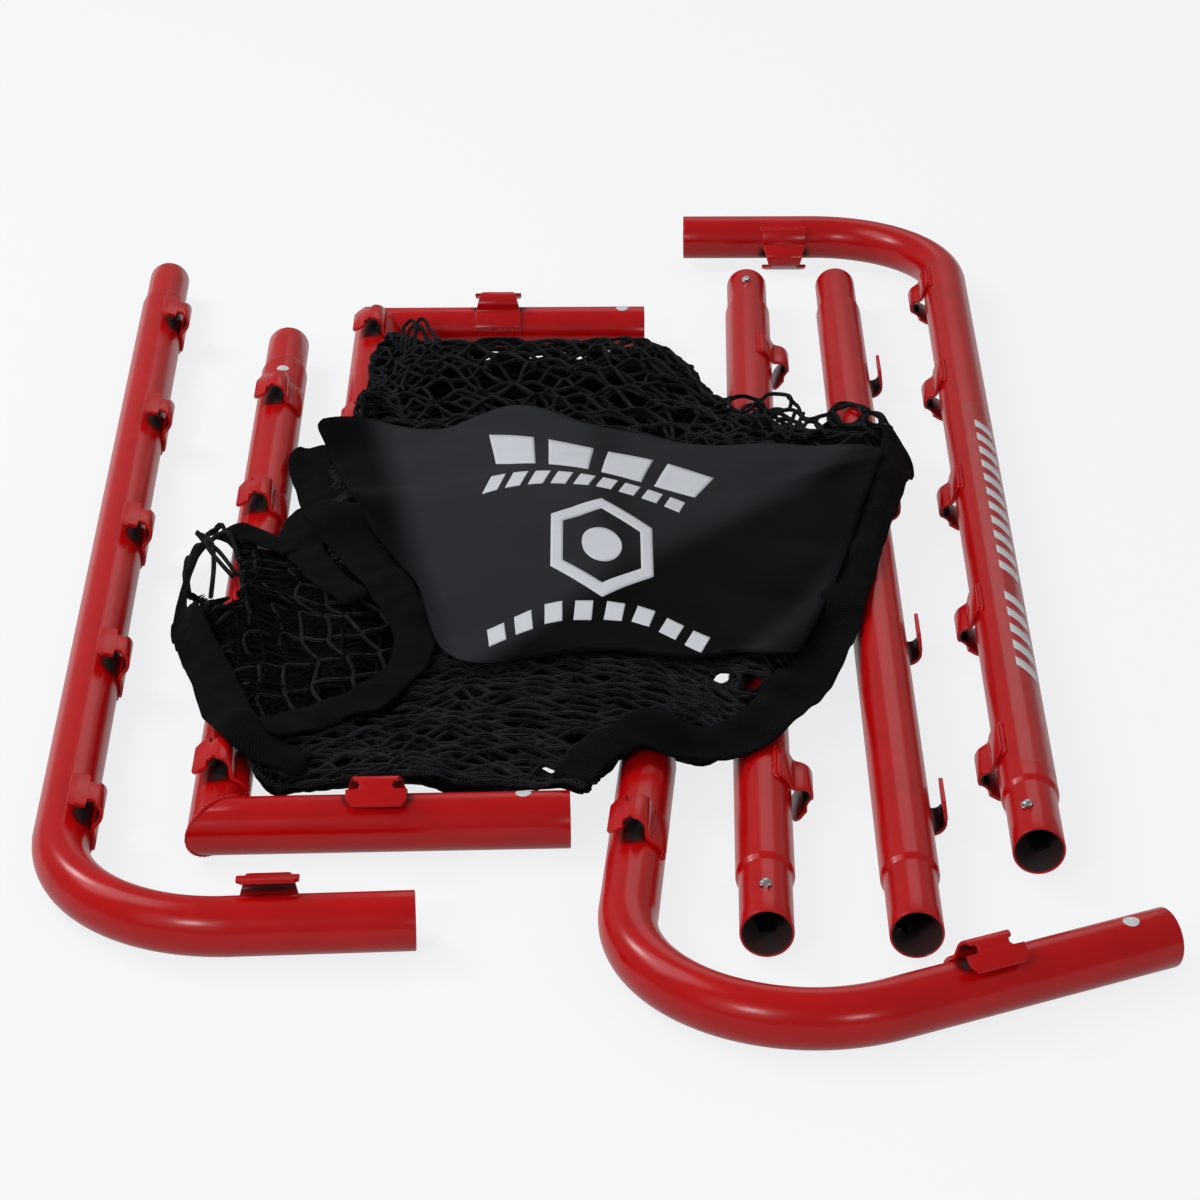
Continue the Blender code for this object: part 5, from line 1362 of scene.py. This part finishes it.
def sleeve(name, knots):
    """A flattened tube along the path: an oval section laid over the frame's band, drawn in at both ends."""
    node = name.removesuffix("_fold")
    low, high = height_maps(node)
    middle_map = blurred((low + high) / 2.0, 3) - (0.0 if name == node else FOLD_DROP)
    path = smooth_curve(plan(*knots), 0.005, False)
    heading = unit(np.gradient(path[:, :2], axis=0))
    beside = np.stack([-heading[:, 1], heading[:, 0]], axis=1)
    run = run_along(path[:, :2])
    close = np.minimum(run, run[-1] - run) / SLEEVE_END
    round_off = np.sqrt(np.clip(1.0 - np.clip(1.0 - close, 0.0, 1.0) ** 2, 0.0004, 1.0))
    turn = full_turn(SLEEVE_ROUND)
    across = np.sign(np.cos(turn)) * np.abs(np.cos(turn)) ** OVAL_POWERS[0] * 0.5
    lift = np.sign(np.sin(turn)) * np.abs(np.sin(turn)) ** OVAL_POWERS[1] * SLEEVE_THICK / 2.0
    width = (path[:, 2] * (0.85 + 0.15 * round_off))[:, None]
    spots = path[:, None, :2] + beside[:, None] * (width * across)[:, :, None]
    flat = spots.reshape(-1, 2)
    pucker = PUCKER[0] * np.sin(run / PUCKER[1])[:, None] * np.cos(turn * 2.0)
    pucker = pucker + BULGE[0] * np.sin(run / BULGE[1] + 1.0)[:, None]
    heights = read_map(middle_map, flat).reshape(len(path), SLEEVE_ROUND) + lift * round_off[:, None] + pucker
    ground = SLEEVE_CLEAR + np.maximum(lift, -SLEEVE_THICK / 2.0) - lift.min()
    points = np.concatenate([spots, np.maximum(heights, ground)[:, :, None]], axis=2)
    faces = grid_faces(len(path), SLEEVE_ROUND, False, True)
    steps = np.hypot(np.diff(across, append=across[0]) * SLEEVE_WIDTH, np.diff(lift, append=lift[0]))
    around = np.concatenate([[0.0], np.cumsum(steps)])
    row, column = faces[:, 0] // SLEEVE_ROUND, faces[:, 0] % SLEEVE_ROUND
    mapped = np.stack([run[row], around[column], run[row], around[column + 1],
                       run[row + 1], around[column + 1], run[row + 1], around[column]], axis=1)
    mapped = np.concatenate([mapped.reshape(-1), np.zeros(SLEEVE_ROUND * 4)])
    band = new_piece(name + "_sleeve", points, tube_faces(len(path), SLEEVE_ROUND, False), SLEEVE_KNIT, "net",
                     "border_knit", uv=("knit", mapped))
    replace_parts(band, node)


for name, knots in SLEEVES.items():
    sleeve(name, knots)


# Panel: charcoal coated vinyl, 1.6 mm thick, sewn into the net as its front shield. It lies slack over the
# heap, with one raised crease towards the right corner.
CREASE = plan((205, 130), (315, 176))
CREASE_HEIGHT = 0.0045
CREASE_WIDTH = 0.013
PANEL_DRIFT = (5, 0.12, 0.30, 0.0011)
PANEL_SEED = 144
# Lines on the panel that the painted sheen follows, each from a start to an end
SHEEN_SLANT = ((0.072, -0.075), (0.262, 0.170))
SHEEN_LEFT = ((-0.120, -0.215), (-0.192, 0.235))
SHEEN_VALLEY = ((0.052, -0.100), (0.036, 0.190))
SHEEN_CORNER = ((0.158, -0.270), (0.235, -0.120))


def panel_vinyl():
    """Coated vinyl: near black with a fine pebble, a dull gloss, and charcoal where a sheen is painted in."""
    vinyl = Finish("panel_vinyl")
    grain = relief(vinyl, 950.0, 9.0, 0.15)
    haze = vinyl.add("Attribute", attribute_name="haze")["Fac"]
    grain_and_sheen = vinyl.math("MULTIPLY_ADD", grain["Broad"], 0.16, haze)
    return vinyl.surface(
        Base_Color=vinyl.ramp(grain_and_sheen, (0.08, (0.0020, 0.0022, 0.0028)), (1.0, (0.0270, 0.0290, 0.0330))),
        Roughness=vinyl.ramp(grain["Broad"], (0.3, 0.38), (0.7, 0.50)), Specular_IOR_Level=0.01,
        Normal=vinyl.bump(grain["Height"], 0.25, 0.0004))


def crease(spots):
    """Height of the raised crease: a narrow ridge along a line, fading out at both ends."""
    start, end = CREASE
    along = end - start
    share = np.clip(((spots - start) @ along) / (along @ along), 0.0, 1.0)
    gap = np.linalg.norm(spots - start - share[:, None] * along, axis=1)
    swell = np.sin(math.pi * np.clip(share, 0.05, 0.95)) ** 0.5
    return CREASE_HEIGHT * np.exp(-(gap / CREASE_WIDTH) ** 2) * swell


def soft_step(offset, width):
    """A smooth step from 0 to 1 across a width, centred where the offset is nought."""
    return smooth_step(offset / width + 0.5)


def line_offset(spots, start, end):
    """Distance of flat places to the left of a line, seen from its start."""
    along = unit(np.array(end) - np.array(start))
    return (spots - NET_MOVE - start) @ np.array((-along[1], along[0]))


def painted_sheen(spots):
    """Painted sheen over the left and upper part: a step along a slanted line times one along the left edge,
    less a valley between two soft folds, with a pale strip at the lower right corner."""
    above = soft_step(line_offset(spots, *SHEEN_SLANT), 0.045)
    middle = soft_step(-line_offset(spots, *SHEEN_LEFT), 0.040)
    valley = 0.42 * np.exp(-(line_offset(spots, *SHEEN_VALLEY) / 0.020) ** 2)
    corner = 0.40 * np.exp(-(line_offset(spots, *SHEEN_CORNER) / 0.013) ** 2)
    corner *= soft_step(spots[:, 0] - 0.150, 0.030)
    fading = 1.0 - 0.22 * soft_step(spots[:, 0] - 0.03, 0.05)
    return 0.02 + 0.92 * above * middle * (1.0 - valley) * fading + corner


PANEL_SLACK = np.abs(soft_drift(HEAP_SPOTS, np.random.default_rng(PANEL_SEED), *PANEL_DRIFT)[:, 0])
PANEL_SKIN = PANEL_TOP + PANEL_SLACK.reshape(HEAP_CELLS) + crease(HEAP_SPOTS).reshape(HEAP_CELLS)
panel_low = PANEL_SKIN - PANEL_SHEET
panel = soft_slab("net_front_panel", PANEL_INSET, panel_low, PANEL_SKIN, panel_vinyl(), "panel_vinyl")
# Painted sheen: a lighter tone over parts of the panel, for its material to read
paint_attribute(panel, "haze", painted_sheen(mesh_points(panel.data)[:, :2]))
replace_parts(panel, "net_panel")


# Print: white ink about as thick as paint on the panel, in plain shapes: two rows of slanted bars, an arc of
# short bars, and a ring of six sides round a dot. The corners of the bars are in tenths of a millimetre.
PRINT_THICK = 0.0005
PRINT_SINK = 0.0003
LINE_DROP = 0.012
SECOND_ROW = range(4, 13)
PRINT_BARS = (
    ((-820, 2110), (-361, 1994), (-334, 1202), (-730, 1264)),
    ((-213, 1952), (243, 1806), (191, 1090), (-204, 1172)),
    ((390, 1754), (840, 1578), (711, 952), (319, 1053)),
    ((986, 1516), (1441, 1305), (1237, 776), (839, 900)),
    ((-765, 961), (-621, 998), (-698, 599), (-843, 540)),
    ((-546, 1013), (-400, 1037), (-477, 668), (-623, 625)),
    ((-325, 1045), (-179, 1054), (-256, 711), (-402, 685)),
    ((-104, 1055), (42, 1050), (-33, 729), (-180, 720)),
    ((117, 1044), (263, 1025), (189, 720), (43, 729)),
    ((338, 1011), (483, 978), (412, 687), (265, 712)),
    ((558, 957), (703, 910), (633, 627), (487, 669)),
    ((778, 883), (922, 822), (854, 543), (709, 601)),
    ((996, 787), (1139, 713), (1073, 433), (929, 508)),
    ((-738, -2078), (-584, -1964), (-557, -2291), (-710, -2403)),
    ((-493, -1891), (-336, -1787), (-316, -2119), (-472, -2220)),
    ((-214, -1708), (-51, -1643), (-49, -1978), (-211, -2042)),
    ((70, -1628), (236, -1606), (218, -1940), (53, -1961)),
    ((364, -1594), (531, -1609), (495, -1937), (330, -1923)),
    ((648, -1633), (809, -1719), (745, -2025), (585, -1941)),
    ((917, -1828), (1068, -1964), (983, -2244), (833, -2110)),
    ((1153, -2054), (1300, -2199), (1211, -2470), (1064, -2328)),
)
RING_CENTRE = np.array((0.0318, -0.0610))
RING_REACH = np.array((0.056, 0.092))
RING_INNER = 0.76
DOT_REACH = 0.34


def thin_slab(top, out, thickness, closed=False):
    """A closed film under a grid of top points: each row goes across on top and back below."""
    loop = np.concatenate([top, (top - out * thickness)[:, ::-1]], axis=1)
    return loop.reshape(-1, 3), tube_faces(*loop.shape[:2], closed)


def print_shape(first, last, across, closed=False):
    """Slab between two curves on the plan, raised onto the panel's skin and sunk into it a little."""
    share = np.linspace(0.0, 1.0, across)[None, :, None]
    spots = first[:, None] * (1.0 - share) + last[:, None] * share + NET_MOVE
    heights = read_map(PANEL_SKIN, spots.reshape(-1, 2)).reshape(spots.shape[:2] + (1,)) + PRINT_THICK
    top = np.concatenate([spots, heights], axis=2)
    return thin_slab(top, UP, PRINT_THICK + PRINT_SINK, closed)


def print_ink():
    """Screen ink: off-white with a cool cast, a fine weave showing through and a few worn specks."""
    ink = Finish("print_ink")
    wear = relief(ink, 950.0, 60.0, 0.4)["Height"]
    worn, pale, full = (0.46, 0.49, 0.54), (0.66, 0.695, 0.745), (0.72, 0.75, 0.80)
    return ink.surface(
        Base_Color=ink.ramp(wear, (0.22, worn), (0.40, pale), (0.80, full)),
        Roughness=0.5, Specular_IOR_Level=0.25, Normal=ink.bump(wear, 0.25, 0.0003))


def panel_print():
    """All the printed shapes as one piece."""
    slabs = []
    run = np.linspace(0.0, 1.0, 14)[:, None]
    for number, corners in enumerate(PRINT_BARS):
        drop = (0.0, LINE_DROP if number in SECOND_ROW else 0.0)
        one, two, three, four = np.array(corners) / 10000 - drop
        slabs.append(print_shape(one + (two - one) * run, four + (three - four) * run, 10))
    turn = full_turn(96)
    side = math.cos(math.pi / 6.0) / np.cos((turn + math.pi / 6.0) % (math.pi / 3.0) - math.pi / 6.0)
    rim = side[:, None] * np.column_stack([np.cos(turn), np.sin(turn)]) * RING_REACH
    slabs.append(print_shape(RING_CENTRE + rim, RING_CENTRE + rim * RING_INNER, 5, True))
    sweep = np.linspace(0.04, math.pi - 0.04, 20)
    left = np.column_stack([np.cos(sweep), np.sin(sweep)]) * RING_REACH * DOT_REACH
    slabs.append(print_shape(RING_CENTRE + left, RING_CENTRE + left * (1.0, -1.0), 12))
    new_piece("net_panel_print", *joined(slabs), print_ink(), "net")


panel_print()


# Stickers and film: four small round white labels left blank, and a strip of clear film with a few slanted
# white marks along the right base rail.
LABEL_RADIUS = 0.0068
LABEL_LIFT = 0.00035
PAPER_THICK = 0.0003
# Each label: tube, leg, distance from the corner, degrees round from the inner side
LABELS = (("lower_crossbar_corner", 0, 0.955, 86.0), ("lower_crossbar_corner", 1, 0.262, 82.0),
          ("upper_crossbar_corner", 1, 0.277, 90.0), ("rear_apex", 1, 0.463, 92.0))
# Runs along the rail are distances from its corner, and turns are degrees round from its inner side
FILM_RAIL = "right_base_rail"
FILM_TINT = (0.62, 0.10, 0.10, 1.0)
FILM_RUN = (0.557, 1.344)
FILM_TURN = (72.0, 162.0)
FILM_RIM = 0.0008
FILM_LIFT = 0.0003
FILM_THICK = 0.0002
FILM_MARKS = 17
FILM_GAP = 11
FILM_MARK_RUN = (0.606, 1.146)
FILM_MARK_TURN = (97.0, 146.0)
FILM_MARK_SIZE = 0.017
FILM_MARK_LEAN = 0.00036
FILM_MARK_LIFT = 0.0006


def on_tube(name, number, distance, angle, lift):
    """Points on a tube's skin, each at a distance from its corner and an angle from its inner side, and the
    directions outwards there."""
    axis = AXES[name]
    along, inner, _ = axis.leg(number)
    turn = np.radians(angle)[..., None]
    out = inner * np.cos(turn) + UP * np.sin(turn)
    return axis.corner + along * np.asarray(distance)[..., None] + out * (TUBE_RADIUS + lift), out


def label_paper():
    """Coated label paper: white with faint fibre and a slight relief."""
    paper = Finish("label_paper")
    fibre = relief(paper, 1200.0, 260.0, 0.5)
    return paper.surface(
        Base_Color=paper.ramp(fibre["Broad"], (0.3, (0.56, 0.58, 0.60)), (0.6, (0.72, 0.73, 0.75))),
        Roughness=0.4, Normal=paper.bump(fibre["Height"], 0.2, 0.0002))


def clear_film():
    """Clear film: almost all see-through, with a soft gloss, faint streaks and a paler cut edge."""
    film = Finish("clear_film")
    edge = film.add("Attribute", attribute_name="cut_edge")["Fac"]
    haze = film.math("MULTIPLY_ADD", edge, 0.8, relief(film, 700.0, 18.0, 0.7)["Height"])
    return film.surface(Base_Color=FILM_TINT, Roughness=0.18,
                        Alpha=film.ramp(haze, (0.3, 0.05), (0.7, 0.16), (1.0, 0.50)))


def blank_label(number, name, leg, distance, angle):
    """A disc of paper laid round the tube: rows across a circle."""
    swing = np.linspace(0.05, math.pi - 0.05, 17)[:, None]
    share = np.linspace(-1.0, 1.0, 13)[None, :]
    along, around = LABEL_RADIUS * np.cos(swing) + 0.0 * share, LABEL_RADIUS * np.sin(swing) * share
    turn = angle + np.degrees(around / TUBE_RADIUS)
    top, out = on_tube(name, leg, distance + along, turn, LABEL_LIFT)
    new_piece(f"blank_label_{number}", *thin_slab(top, out, PAPER_THICK), PAPER, BODY_OF[name])


def film_strip():
    """The strip: a grid of points with a narrow cell all round, which the cut_edge attribute marks."""
    rim = np.array((0.0, FILM_RIM))
    across = np.degrees(rim / TUBE_RADIUS)
    turns = [FILM_TURN[0] + across, np.linspace(*FILM_TURN, 24)[1:-1], FILM_TURN[1] - across[::-1]]
    run = [FILM_RUN[0] + rim, np.linspace(*FILM_RUN, 60)[1:-1], FILM_RUN[1] - rim[::-1]]
    spots, turns = np.meshgrid(np.concatenate(run), np.concatenate(turns), indexing="ij")
    points, faces = thin_slab(*on_tube(FILM_RAIL, 0, spots, turns, FILM_LIFT), FILM_THICK)
    film = new_piece("clear_film_strip", points, faces, clear_film(), BODY_OF[FILM_RAIL])
    edge = np.zeros(spots.shape)
    edge[[0, -1]], edge[:, [0, -1]] = 1.0, 1.0
    edge = np.concatenate([edge, edge[:, ::-1]], axis=1).reshape(-1)
    tree = KDTree(len(edge))
    for index, point in enumerate(points):
        tree.insert(point, index)
    tree.balance()
    paint_attribute(film, "cut_edge", [edge[tree.find(point)[1]] for point in mesh_points(film.data)])


def film_mark(number):
    """One slanted mark of paper-white ink, its far edge carried along the rail as it goes round."""
    start = FILM_MARK_RUN[0] + (FILM_MARK_RUN[1] - FILM_MARK_RUN[0]) * number / (FILM_MARKS - 1)
    along, around = np.linspace(0.0, FILM_MARK_SIZE, 6), np.linspace(*FILM_MARK_TURN, 10)
    along, around = np.meshgrid(along, around, indexing="ij")
    lean = (around - FILM_MARK_TURN[0]) * FILM_MARK_LEAN
    top, out = on_tube(FILM_RAIL, 0, start + along + lean, around, FILM_MARK_LIFT)
    new_piece(f"film_mark_{number + 1}", *thin_slab(top, out, PAPER_THICK), PAPER, BODY_OF[FILM_RAIL])


PAPER = label_paper()
for number, label in enumerate(LABELS, 1):
    blank_label(number, *label)
film_strip()
for number in range(FILM_MARKS):
    if number != FILM_GAP:
        film_mark(number)
